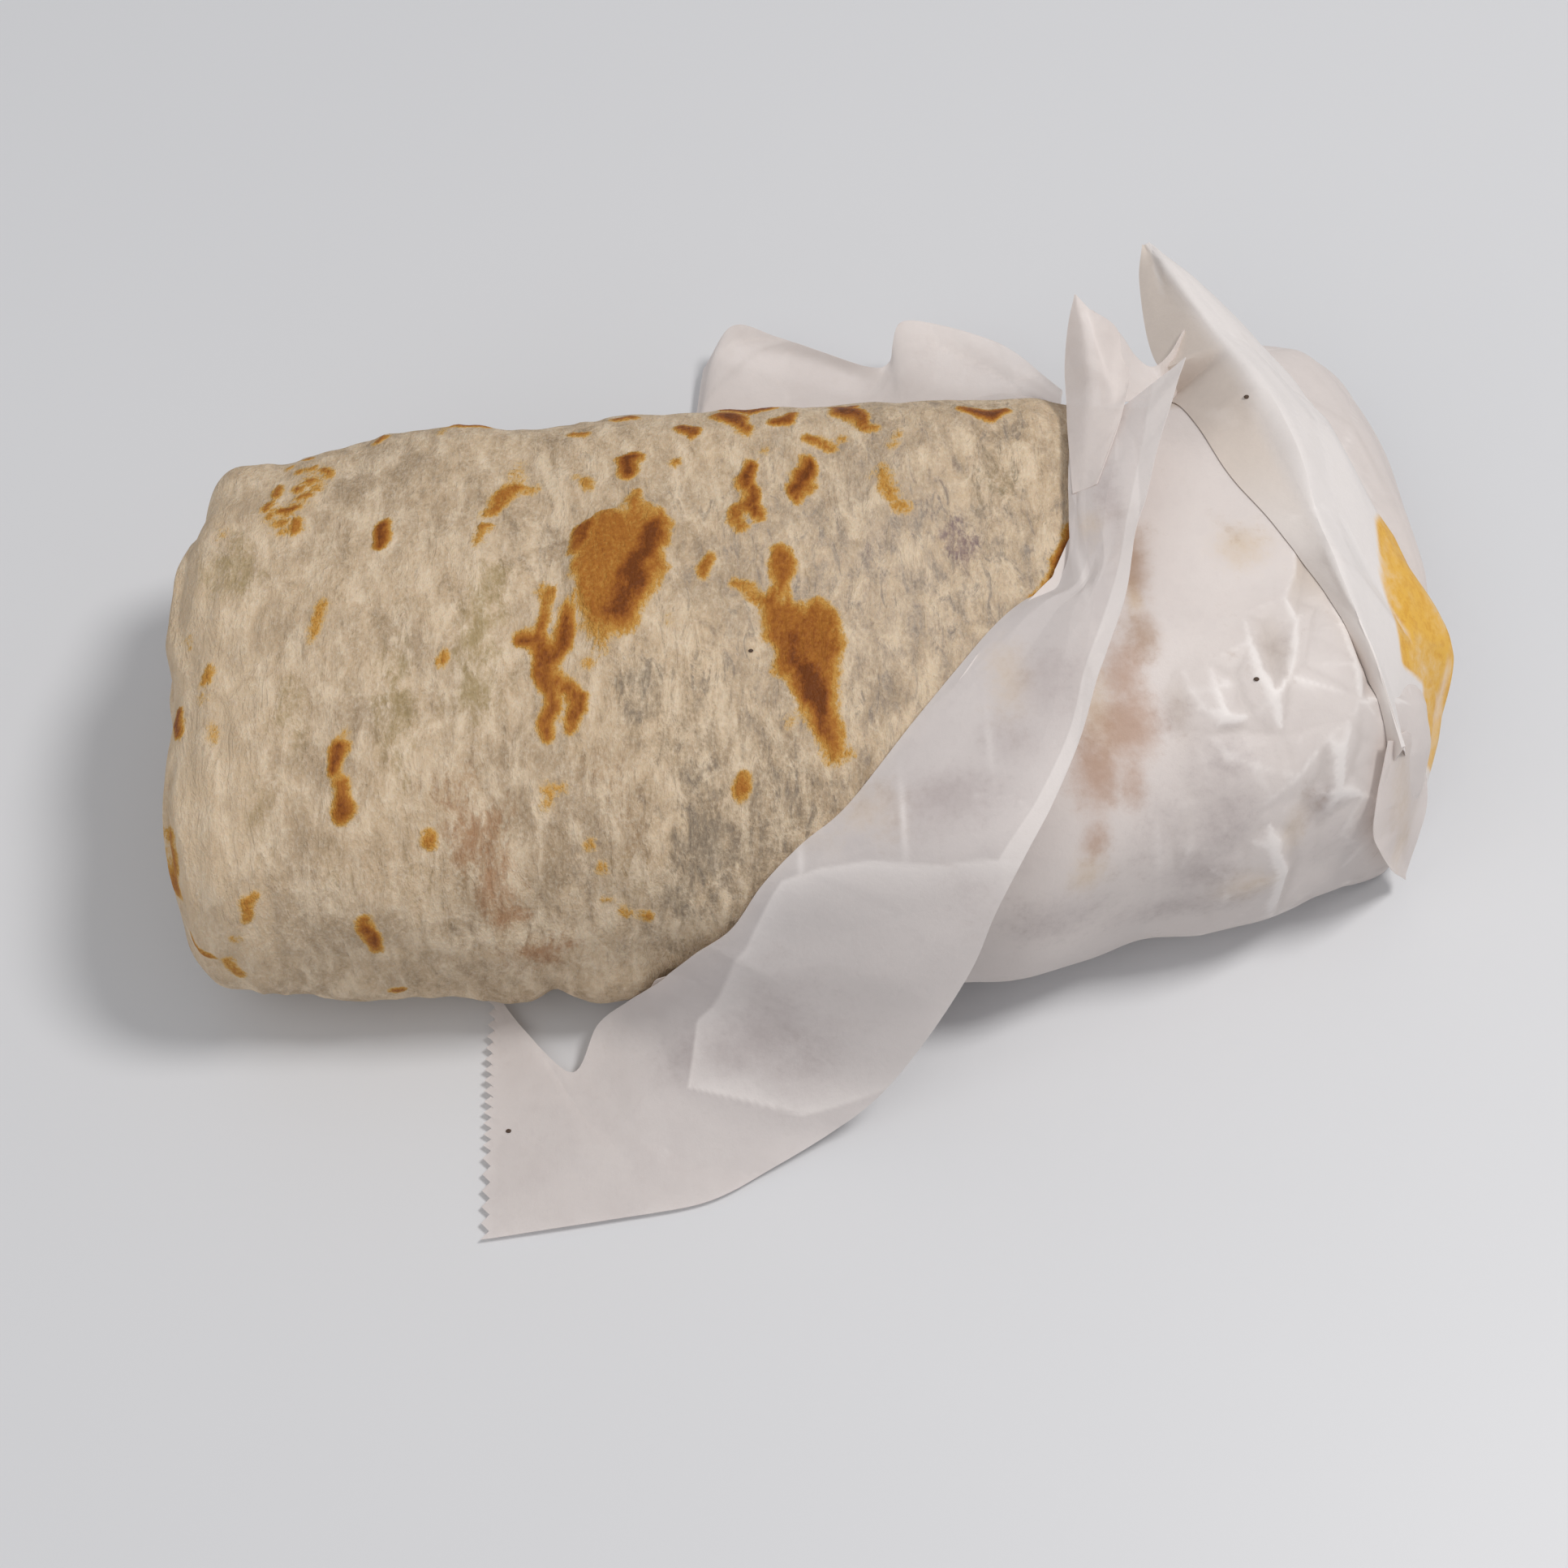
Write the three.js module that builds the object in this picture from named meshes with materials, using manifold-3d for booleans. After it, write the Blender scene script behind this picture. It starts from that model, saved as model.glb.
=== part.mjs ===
// A whole burrito, half wrapped in one sheet of white deli paper, lying on its flat side.
// Millimetres, +Z up. X runs along the roll, -Y is the near side. The origin is on the surface
// that the burrito lies on, under the middle of the roll.
import * as THREE from "three";
import { mergeVertices } from "three/addons/utils/BufferGeometryUtils.js";
import Module from "manifold-3d";

const wasm = await Module();
wasm.setup();

// ---- Driving dimensions ----

// The tortilla roll: a plump pillow with squared, tucked ends and a flat underside.
const ROLL = {
  left: -97.5, // the bare folded end
  right: 95, // the end inside the paper
  halfWidth: 45.5,
  swell: 2, // how much fuller the roll is a little right of its middle
  swellAt: 15,
  swellReach: 60,
  waist: 22, // height of the widest line
  above: 34.5, // from the waist to the top
  below: 24.5, // from the waist down, before the underside is pressed flat
  squareness: 2.6, // 2 is an ellipse, more is boxier
  endSquareness: 12, // seen from above
  endRounding: 5.8, // seen from the side
  bow: 0.077, // how far the end's corners stay behind its fullest line, as a share of the half length
  bowCentre: -9, // the end's fullest line lies a little to the near side
  bowAcross: 2.8, // how late the bow sets in, going across the end
  bowAlong: 5, // how late it sets in, going along the roll
};

// The paper stands for a sheet far thinner than it can be as a solid.
const PAPER = 0.8;
const GAP = 0.4; // between the tortilla and the paper's inner face
const SLEEVE = PAPER + GAP + 0.1; // the sleeve's outer face, above the tortilla
const UNDERLAY = 0.6; // the paper under the roll
const STEP = UNDERLAY + 0.3; // how far the roll's underside is raised where paper lies under it
const BAG_RIGHT = 104; // the sleeve's closed end, beyond the roll's

const RINGS = 34; // cross-sections along a roll
const RING_CROWDING = 2.5; // how much closer together they lie at its ends
const SIDES = 40; // points round a cross-section

// ---- Solids from meshes ----

function toSolid(geometry) {
  const bare = geometry.clone();
  bare.deleteAttribute("normal");
  bare.deleteAttribute("uv");
  const merged = mergeVertices(bare, 1e-4);
  return new wasm.Manifold(
    new wasm.Mesh({
      numProp: 3,
      vertProperties: new Float32Array(merged.attributes.position.array),
      triVerts: new Uint32Array(merged.index.array),
    }),
  );
}

function toGeometry(solid) {
  const mesh = solid.getMesh();
  const positions = new Float32Array(mesh.numVert * 3);
  for (let i = 0; i < mesh.numVert; i++) {
    const at = i * mesh.numProp;
    positions.set(mesh.vertProperties.subarray(at, at + 3), i * 3);
  }
  return new THREE.BufferGeometry()
    .setAttribute("position", new THREE.BufferAttribute(positions, 3))
    .setIndex(new THREE.BufferAttribute(new Uint32Array(mesh.triVerts), 1))
    .toNonIndexed();
}

function meshOf(points, faces) {
  const positions = points.flatMap((p) => [p.x, p.y, p.z]);
  return new THREE.BufferGeometry()
    .setAttribute("position", new THREE.Float32BufferAttribute(positions, 3))
    .setIndex(faces);
}

const V = (x, y, z) => new THREE.Vector3(x, y, z);

// ---- The pillow form that the roll and the sleeve round it share ----

const signedPower = (value, power) => Math.sign(value) * Math.abs(value) ** power;

// form: { right, grow, floor }. along runs from -1 to 1, turn is the angle round the roll.
function pillowPoint(form, along, turn) {
  const middle = (ROLL.left + form.right) / 2;
  const halfLength = (form.right - ROLL.left) / 2 + form.grow;
  const share = Math.abs(along);
  const narrowing = (1 - share ** ROLL.endSquareness) ** (1 / ROLL.endSquareness);
  const flattening = (1 - share ** ROLL.endRounding) ** (1 / ROLL.endRounding);
  const x = middle + halfLength * along;
  const swell = ROLL.swell * Math.exp(-(((x - ROLL.swellAt) / ROLL.swellReach) ** 2));
  const width = (ROLL.halfWidth + swell + form.grow) * narrowing;
  const height = ((Math.sin(turn) > 0 ? ROLL.above : ROLL.below) + form.grow) * flattening;
  const y = width * signedPower(Math.cos(turn), 2 / ROLL.squareness);
  const z = ROLL.waist + height * signedPower(Math.sin(turn), 2 / ROLL.squareness);
  const offCentre = Math.abs(y - ROLL.bowCentre) / ROLL.halfWidth;
  const bowed = 1 - ROLL.bow * offCentre ** ROLL.bowAcross * share ** ROLL.bowAlong;
  return V(middle + halfLength * along * bowed, y, Math.max(z, form.floor));
}

function pillow(form) {
  const points = [];
  const faces = [];
  const spread = (s) => Math.sign(s) * (1 - (1 - Math.abs(s)) ** RING_CROWDING);
  for (let ring = 1; ring < RINGS; ring++) {
    const along = spread((2 * ring) / RINGS - 1);
    for (let side = 0; side < SIDES; side++)
      points.push(pillowPoint(form, along, (2 * Math.PI * side) / SIDES));
  }
  const leftPole = points.push(pillowPoint(form, -1, 0)) - 1;
  const rightPole = points.push(pillowPoint(form, 1, 0)) - 1;
  for (let side = 0; side < SIDES; side++) {
    const next = (side + 1) % SIDES;
    for (let ring = 0; ring < RINGS - 2; ring++) {
      const [a, b] = [ring * SIDES + side, ring * SIDES + next];
      const [c, d] = [a + SIDES, b + SIDES];
      faces.push(a, b, d, a, d, c);
    }
    const last = (RINGS - 2) * SIDES;
    faces.push(leftPole, next, side, rightPole, last + side, last + next);
  }
  return toSolid(meshOf(points, faces));
}

// ---- Sheets of paper: a skin stretched over rails, with a thickness ----

// Points evenly along a smooth line through the ones given.
const rail = (points, count) => new THREE.CatmullRomCurve3(points).getSpacedPoints(count);

function thickSheet(rows, thickness = PAPER) {
  const [m, n] = [rows.length, rows[0].length];
  const clampRow = (i) => Math.min(m - 1, Math.max(0, i));
  const clampColumn = (j) => Math.min(n - 1, Math.max(0, j));
  const outward = (i, j) => {
    const acrossRows = rows[clampRow(i + 1)][j].clone().sub(rows[clampRow(i - 1)][j]);
    const alongRow = rows[i][clampColumn(j + 1)].clone().sub(rows[i][clampColumn(j - 1)]);
    return acrossRows.cross(alongRow).normalize();
  };
  const points = [];
  for (const side of [0.5, -0.5])
    for (let i = 0; i < m; i++)
      for (let j = 0; j < n; j++)
        points.push(rows[i][j].clone().addScaledVector(outward(i, j), side * thickness));
  const top = (i, j) => i * n + j;
  const under = (i, j) => m * n + i * n + j;
  const faces = [];
  for (let i = 0; i < m - 1; i++)
    for (let j = 0; j < n - 1; j++) {
      faces.push(top(i, j), top(i + 1, j), top(i + 1, j + 1));
      faces.push(top(i, j), top(i + 1, j + 1), top(i, j + 1));
      faces.push(under(i, j), under(i + 1, j + 1), under(i + 1, j));
      faces.push(under(i, j), under(i, j + 1), under(i + 1, j + 1));
    }
  const wall = (a, b) => faces.push(top(...a), top(...b), under(...b), top(...a), under(...b), under(...a));
  for (let i = 0; i < m - 1; i++) {
    wall([i + 1, 0], [i, 0]);
    wall([i, n - 1], [i + 1, n - 1]);
  }
  for (let j = 0; j < n - 1; j++) {
    wall([0, j], [0, j + 1]);
    wall([m - 1, j + 1], [m - 1, j]);
  }
  return toSolid(meshOf(points, faces));
}

// Moves each corner of a counterclockwise outline out by a margin, square to both its sides.
function letOut(outline, margin) {
  const corners = outline.map(([x, y]) => new THREE.Vector2(x, y));
  const count = corners.length;
  const outward = (from, to) => {
    const side = to.clone().sub(from).normalize();
    return new THREE.Vector2(side.y, -side.x);
  };
  return corners.map((corner, i) => {
    const before = outward(corners[(i + count - 1) % count], corner);
    const after = outward(corner, corners[(i + 1) % count]);
    const mitre = before.clone().add(after).normalize();
    return corner.clone().addScaledVector(mitre, margin / mitre.dot(after));
  });
}

// A flat outline, let out by a margin and pushed up from one height to another.
function slab(outline, bottom, top, margin = 0) {
  const shape = new THREE.Shape(letOut(outline, margin));
  const block = new THREE.ExtrudeGeometry(shape, { depth: top - bottom, bevelEnabled: false });
  return toSolid(block.translate(0, 0, bottom));
}

// ---- The tortilla ----

// The paper that lies flat under the roll, seen from above.
const UNDERLAY_OUTLINE = [
  [-50, -37],
  [-20, -36],
  [76, -36],
  [96, -26],
  [99, 24],
  [84, 44],
  [56, 52],
  [-14, 52],
  [-24, 40],
  [-40, 0],
];

function tortillaRoll() {
  const body = pillow({ right: ROLL.right, grow: 0, floor: 0 });
  return body.subtract(slab(UNDERLAY_OUTLINE, -1, STEP, GAP));
}

// ---- The paper ----

// The sleeve covers the roll right of a slanting fold. Seen from above, this outline holds it.
const SLEEVE_OUTLINE = [
  [-18, -56],
  [120, -56],
  [120, 56],
  [52, 56],
  [50, 40],
  [48, 22],
  [41, 0],
  [18, -27],
  [-5, -44],
];

function sleeve() {
  const outside = pillow({ right: BAG_RIGHT, grow: SLEEVE, floor: 0 });
  return outside.intersect(slab(SLEEVE_OUTLINE, -1, 80));
}

// The cuff is folded back along the slanting fold, stands up at the far side
// and falls over the near side onto the table.
function cuff() {
  const fold = [V(49, 26, 56), V(41, -1, 57.5), V(18, -27, 54.5), V(-5, -44, 42), V(-20, -49, 25), V(-37, -54, 2)];
  const ridge = [V(56, 27, 62), V(48, -11, 61), V(28, -37, 55), V(10, -50, 37), V(-4, -56, 18), V(-28, -66, 1.6)];
  const free = [V(67, 38, 66), V(53, -10, 64), V(36, -45, 57), V(24, -53, 24), V(4, -67, 2), V(-34, -80, 0.8)];
  return thickSheet([fold, ridge, free].map((points) => rail(points, 16)));
}

// The tail ends in the zigzag that the paper was torn off along.
function tail() {
  const teeth = 19;
  const toothDepth = 0.8;
  const near = [V(-51, -82, 0.5), V(-32, -80, 0.5), V(-15, -76, 0.9)];
  const far = [V(-49, -35, 0.4), V(-36, -54, 1.6), V(-24, -60, 1.8)];
  const rows = [];
  const lines = [rail(near, 6), rail(far, 6)];
  for (let i = 0; i <= 2 * teeth; i++) {
    const row = lines[0].map((p, j) => p.clone().lerp(lines[1][j], i / (2 * teeth)));
    row[0].x += i % 2 ? toothDepth : 0;
    rows.push(row);
  }
  return thickSheet(rows);
}

// The wing is the paper's gathered closing fold. It stands up from the right end to a long tip.
function wing() {
  const inner = [V(68, 75, 44), V(67, 57, 47), V(74, 36, 52), V(82, 10, 54), V(92, -14, 46), V(102, -28, 4)];
  const ridge = [V(68.5, 75, 44.5), V(74, 52, 50), V(86, 26, 54), V(96, 4, 50), V(104, -14, 32), V(102.5, -28, 4)];
  const outer = [V(69, 75.5, 44), V(84, 60, 41), V(97, 32, 38), V(109, 5, 30), V(110, -8, 19), V(103, -28, 3)];
  return thickSheet([inner, ridge, outer].map((points) => rail(points, 12)));
}

// A softer layer shows behind the wing and runs down to the table.
function rearLayer() {
  const upper = [V(80, 52, 40), V(92, 40, 40), V(101, 22, 36), V(104, 4, 28)];
  const lower = [V(93, 66, 20), V(107, 58, 14), V(112, 34, 12), V(112, 8, 16)];
  const foot = [V(78, 50, 1), V(95, 44, 0.5), V(102, 26, 0.5), V(102, 6, 0.5)];
  return thickSheet([upper, lower, foot].map((points) => rail(points, 6)));
}

// Two curled flaps lie behind the roll, in one piece with the paper under it.
function rearFlap() {
  const inner = [V(-16, 44, 0.5), V(10, 48, 0.5), V(34, 50, 0.5), V(62, 46, 0.5)];
  const middle = [V(-12, 70, 2), V(10, 70, 3), V(34, 70, 5), V(58, 58, 12)];
  const outer = [V(-3, 90, 10), V(20, 81, 8), V(36, 85, 14), V(57, 64, 22)];
  return thickSheet([inner, middle, outer].map((points) => rail(points, 8)));
}

// Two pointed pleats stand up at the far end of the cuff.
function pleats() {
  const left = [V(49, 32, 52), V(50, 47, 50), V(51, 49, 65)];
  const crest = [V(55, 28, 61), V(56, 42, 60), V(53, 47, 64)];
  const right = [V(62, 30, 58), V(62, 47, 48), V(56, 49, 60)];
  return thickSheet([left, crest, right].map((points) => rail(points, 6)));
}

function paperWrap() {
  const sheets = [
    slab(UNDERLAY_OUTLINE, 0, UNDERLAY),
    cuff(),
    tail(),
    wing(),
    rearLayer(),
    rearFlap(),
    pleats(),
  ];
  const aboveTable = slab([[-200, -200], [200, -200], [200, 200], [-200, 200]], 0, 200);
  const room = pillow({ right: ROLL.right, grow: GAP, floor: -0.5 });
  const whole = sheets.reduce((joined, sheet) => joined.add(sheet), sleeve());
  return whole.intersect(aboveTable).subtract(room.subtract(slab(UNDERLAY_OUTLINE, -1, UNDERLAY)));
}

// ---- The part ----

const tortillaLook = new THREE.MeshStandardMaterial({ color: 0xd9cbb2, roughness: 0.75, metalness: 0 });
const paperLook = new THREE.MeshStandardMaterial({ color: 0xf0eeec, roughness: 0.5, metalness: 0 });

function named(name, solid, material) {
  const mesh = new THREE.Mesh(toGeometry(solid), material);
  mesh.name = name;
  return mesh;
}

const burrito = new THREE.Group();
burrito.add(named("tortilla_roll", tortillaRoll(), tortillaLook));
burrito.add(named("paper_wrap", paperWrap(), paperLook));

export default burrito;
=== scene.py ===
import math

import bpy
import numpy as np
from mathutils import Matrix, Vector
from mathutils.bvhtree import BVHTree
from mathutils.geometry import delaunay_2d_cdt


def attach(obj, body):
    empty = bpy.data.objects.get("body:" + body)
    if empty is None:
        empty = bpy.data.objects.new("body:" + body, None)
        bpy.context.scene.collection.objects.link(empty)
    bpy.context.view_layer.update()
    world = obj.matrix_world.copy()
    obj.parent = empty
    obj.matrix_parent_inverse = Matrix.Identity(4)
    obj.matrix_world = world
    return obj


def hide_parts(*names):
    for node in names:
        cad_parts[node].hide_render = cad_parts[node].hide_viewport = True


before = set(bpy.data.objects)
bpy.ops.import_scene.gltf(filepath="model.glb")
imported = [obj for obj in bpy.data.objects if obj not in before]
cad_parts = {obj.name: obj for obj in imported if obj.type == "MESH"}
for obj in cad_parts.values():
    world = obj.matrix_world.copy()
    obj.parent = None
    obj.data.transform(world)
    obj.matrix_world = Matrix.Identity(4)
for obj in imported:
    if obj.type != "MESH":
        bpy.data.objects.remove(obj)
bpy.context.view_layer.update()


# ---------------------------------------------------------------------------------------------
# The table and the light. A plain pale table, one large soft window light from behind on the
# right, and a weak fill from the room. The camera looks down steeply from the near side.

TABLE_WIDTH = 3.0
TABLE_GAP = 0.0003  # so that the paper and the table don't share a plane
CAMERA_AZIMUTH = math.radians(-3.5)
CAMERA_ELEVATION = math.radians(60)
CAMERA_DISTANCE = 0.470
LOOKS_AT = Vector((0, -0.017, 0.026))


def on_a_sphere(azimuth, elevation):
    """The direction from the centre to a point on a sphere, azimuth 0 on the near side."""
    flat = math.cos(elevation)
    return Vector((math.sin(azimuth) * flat, -math.cos(azimuth) * flat, math.sin(elevation)))


def aim(thing, place, target):
    """Stands a camera or a lamp at a place and turns it to a target."""
    thing.location = place
    thing.rotation_euler = (Vector(target) - Vector(place)).to_track_quat("-Z", "Y").to_euler()


bpy.ops.object.camera_add()
camera = bpy.context.object
camera.name = "camera"
camera.data.lens = 67
camera.data.sensor_width = 36
camera.data.clip_start = 0.01
aim(camera, LOOKS_AT + on_a_sphere(CAMERA_AZIMUTH, CAMERA_ELEVATION) * CAMERA_DISTANCE, LOOKS_AT)
bpy.context.scene.camera = camera


def soft_light(name, place, size, watts, colour):
    bpy.ops.object.light_add(type="AREA")
    lamp = bpy.context.object
    lamp.name = name
    lamp.data.shape = "DISK"
    lamp.data.size = size
    lamp.data.energy = watts
    lamp.data.color = colour
    aim(lamp, place, (0, 0, 0.02))


soft_light("window", (0.54, 0.02, 1.08), 0.30, 7.2, (1.0, 0.985, 0.97))
soft_light("room", (-0.6, -0.6, 1.0), 1.2, 3.5, (1.0, 0.97, 0.94))

world = bpy.data.worlds.new("room")
bpy.context.scene.world = world
world.use_nodes = True
world.node_tree.nodes["Background"].inputs["Color"].default_value = (0.93, 0.96, 1.0, 1)
world.node_tree.nodes["Background"].inputs["Strength"].default_value = 0.40
bpy.context.scene.view_settings.view_transform = "Standard"
bpy.context.scene.cycles.transparent_max_bounces = 32

bpy.ops.mesh.primitive_plane_add(size=TABLE_WIDTH, location=(0, 0, -TABLE_GAP))
table = bpy.context.object
table.name = "table"


class Socket:
    """A node's output, with the operators of arithmetic, so that shader maths reads as maths."""

    def __init__(self, material, output):
        self.material = material
        self.output = output

    def math(self, operation, *others):
        inputs = {0: self}
        inputs.update({i + 1: other for i, other in enumerate(others)})
        return self.material.node("ShaderNodeMath", {"operation": operation}, inputs)

    def __add__(self, other):
        return self.math("ADD", other)

    def __radd__(self, other):
        return self.math("ADD", other)

    def __sub__(self, other):
        return self.math("SUBTRACT", other)

    def __rsub__(self, other):
        return self.math("MULTIPLY", -1.0).math("ADD", other)

    def __mul__(self, other):
        return self.math("MULTIPLY", other)

    def __rmul__(self, other):
        return self.math("MULTIPLY", other)

    def between(self, low, high):
        """0 below low, 1 above high, and a smooth step from one to the other."""
        settings = {"interpolation_type": "SMOOTHSTEP"}
        inputs = {"Value": self, "From Min": low, "From Max": high}
        return self.material.node("ShaderNodeMapRange", settings, inputs, "Result")

    def at_most(self, other):
        return self.math("MINIMUM", other)

    def at_least(self, other):
        return self.math("MAXIMUM", other)


class Material:
    """A node material whose Principled shader is filled in by name."""

    def __init__(self, name, **constants):
        self.data = bpy.data.materials.new(name)
        self.data.use_nodes = True
        self.tree = self.data.node_tree
        self.shader = self.tree.nodes["Principled BSDF"]
        for socket, value in constants.items():
            self.shader.inputs[socket.replace("_", " ")].default_value = value

    def put(self, socket, value):
        if isinstance(value, Socket):
            self.tree.links.new(value.output, socket)
        elif isinstance(value, (tuple, list)) and len(value) == 3 and socket.type == "RGBA":
            socket.default_value = (*value, 1)
        else:
            socket.default_value = value

    def node(self, kind, settings=None, inputs=None, output=0):
        node = self.tree.nodes.new(kind)
        for name, value in (settings or {}).items():
            if name == "stops":
                ramp = node.color_ramp
                while len(ramp.elements) < len(value):
                    ramp.elements.new(1)
                for element, (position, colour) in zip(ramp.elements, value):
                    element.position = position
                    element.color = (*colour, 1)
            else:
                setattr(node, name, value)
        for name, value in (inputs or {}).items():
            self.put(node.inputs[name], value)
        return Socket(self, node.outputs[output])

    def place(self, stretch=(1, 1, 1)):
        """Object coordinates, in metres, multiplied by stretch along each axis."""
        where = self.node("ShaderNodeTexCoord", output="Object")
        return self.node("ShaderNodeMapping", {}, {"Vector": where, "Scale": stretch})

    def noise(self, size, stretch=(1, 1, 1), detail=4, roughness=0.55, distortion=0.0):
        """Cloudy noise from 0 to 1 whose lumps are about size across, in metres."""
        inputs = {
            "Vector": self.place(stretch),
            "Scale": 1 / size,
            "Detail": detail,
            "Roughness": roughness,
            "Distortion": distortion,
        }
        return self.node("ShaderNodeTexNoise", {}, inputs)

    def attribute(self, name):
        return self.node("ShaderNodeAttribute", {"attribute_name": name}, output="Fac")

    def mix(self, factor, first, second):
        """A colour from first to second as factor goes from 0 to 1."""
        mixer = self.tree.nodes.new("ShaderNodeMix")
        mixer.data_type = "RGBA"
        self.put(mixer.inputs["Factor"], factor)
        self.put(mixer.inputs[6], first)  # the inputs' names are the same for every type of mix
        self.put(mixer.inputs[7], second)
        return Socket(self, mixer.outputs[2])

    def finish(self, piece, bump=None, bump_depth=0.0001, **inputs):
        """Links what varies to the shader and puts the material on a piece."""
        for socket, value in inputs.items():
            self.put(self.shader.inputs[socket.replace("_", " ")], value)
        if bump is not None:
            relief = {"Height": bump, "Strength": 1.0, "Distance": bump_depth}
            self.put(self.shader.inputs["Normal"], self.node("ShaderNodeBump", {}, relief))
        piece.data.materials.clear()
        piece.data.materials.append(self.data)


laminate = Material("pale_table", Roughness=0.45)
top_colour = laminate.mix(laminate.noise(0.2), (0.67, 0.67, 0.685), (0.70, 0.70, 0.715))
laminate.finish(table, Base_Color=top_colour)


# ---------------------------------------------------------------------------------------------
# The tortilla roll. One large wheat tortilla, toasted on a griddle, folded in at both ends and
# rolled tightly round its filling, then laid on its seam so that its underside is pressed flat.

MM = 0.001
ROLL_LEFT, ROLL_RIGHT = -97.5, 87.0  # all in millimetres
HALF_WIDTH = 45.5
SWELL, SWELL_AT, SWELL_REACH = 2.0, 15.0, 60.0
WAIST, ABOVE, BELOW = 22.0, 34.5, 24.5
SQUARENESS = 2.6
PLAN_SQUARENESS, SIDE_SQUARENESS = 12.0, 5.8
BOW, BOW_CENTRE = 0.077, -9.0
END_LONG, END_WIDE, END_SQUARENESS = 96, 47, 8  # the outline that the steps to an end are walked on
SEGMENTS, RINGS = 322, 300


def roll_width(x):
    """Half the roll's width, a little fuller right of its middle."""
    return HALF_WIDTH + SWELL * np.exp(-(((x - SWELL_AT) / SWELL_REACH) ** 2))


def roll_section(x, turn, grow=0.0):
    """A point round the roll's middle part: turn 0 faces away, a quarter turn is on top."""
    power = 2 / SQUARENESS
    y = (roll_width(x) + grow) * np.sign(np.cos(turn)) * np.abs(np.cos(turn)) ** power
    tall = np.where(np.sin(turn) > 0, ABOVE, BELOW) + grow
    z = WAIST + tall * np.sign(np.sin(turn)) * np.abs(np.sin(turn)) ** power
    return y, z


def end_profile():
    """Evenly spaced steps from the roll's middle to the centre of its end, as a slope."""
    slope = np.linspace(0, math.pi / 2, 4001)
    long, wide = np.cos(slope), np.sin(slope)
    size = (long**END_SQUARENESS + wide**END_SQUARENESS) ** (-1 / END_SQUARENESS)
    step = np.hypot(np.diff(END_LONG * long * size), np.diff(END_WIDE * wide * size))
    walked = np.concatenate([[0], np.cumsum(step)])
    return walked / walked[-1], slope


def roll_surface(along, turn, grow=0.0, right=ROLL_RIGHT):
    """The roll's skin. along is -1 at the left end's centre, 0 in the middle and 1 at the right
    end's centre, and grow is how far outside the roll a wrapping lies."""
    walked, slope = end_profile()
    steep = np.interp(1 - np.abs(along), walked, slope)
    power = SIDE_SQUARENESS + (PLAN_SQUARENESS - SIDE_SQUARENESS) * np.cos(turn) ** 2
    size = (np.cos(steep) ** power + np.sin(steep) ** power) ** (-1 / power)
    share, spread = np.cos(steep) * size, np.sin(steep) * size
    middle, half = (ROLL_LEFT + right) / 2, (right - ROLL_LEFT) / 2 + grow
    straight = middle + half * np.sign(along) * share
    y, z = roll_section(straight, turn, grow)
    y = y * spread
    z = WAIST + (z - WAIST) * spread
    bowed = 1 - BOW * (np.abs(y - BOW_CENTRE) / HALF_WIDTH) ** 2.8 * share**5
    x = middle + half * np.sign(along) * share * bowed
    return np.stack([x, y, z], -1)


def around(y, z):
    """Millimetres round the roll from its top line, positive towards the near side."""
    turn = np.linspace(math.pi / 2, math.pi * 1.5, 400)
    ring_y, ring_z = roll_section(0.0, turn)
    walked = np.concatenate([[0], np.cumsum(np.hypot(np.diff(ring_y), np.diff(ring_z)))])
    bearing = np.arctan2(ring_z - WAIST, -ring_y)  # from a quarter turn down to minus a quarter
    bearing_here = np.arctan2(z - WAIST, np.abs(y))
    return np.sign(-y) * np.interp(-bearing_here, -bearing, walked)


def ripples(points, length, seed, stretch=(1, 1, 1), waves=28):
    """Random ripples, about 1 high, whose crests are about length apart along each axis."""
    random = np.random.default_rng(seed)
    total = np.zeros(len(points))
    for _ in range(waves):
        heading = random.normal(size=3)
        heading /= np.linalg.norm(heading)
        pitch = length * random.uniform(0.7, 1.5)
        wave = heading / np.array(stretch) * 2 * math.pi / pitch
        total += np.sin(points @ wave + random.uniform(0, 2 * math.pi))
    return total / math.sqrt(waves / 2)


def swelling(points):
    """The slow swells of the filling, which the paper follows too."""
    return 0.50 * ripples(points, 40, 1) + 0.20 * ripples(points, 17, 2)


def smooth(value, low, high):
    """0 below low, 1 above high, and a smooth step from one to the other."""
    t = np.clip((value - low) / (high - low), 0, 1)
    return t * t * (3 - 2 * t)


def mesh_points(mesh):
    flat = np.empty(len(mesh.vertices) * 3)
    mesh.vertices.foreach_get("co", flat)
    return flat.reshape(-1, 3)


def move_points(mesh, points):
    mesh.vertices.foreach_set("co", np.ascontiguousarray(points, dtype=float).ravel())
    mesh.update()


def point_normals(mesh):
    flat = np.empty(len(mesh.vertices) * 3)
    mesh.vertex_normals.foreach_get("vector", flat)
    return flat.reshape(-1, 3)


def store(mesh, name, values):
    mesh.attributes.new(name, "FLOAT", "POINT").data.foreach_set("value", values.astype(np.float32))


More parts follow.
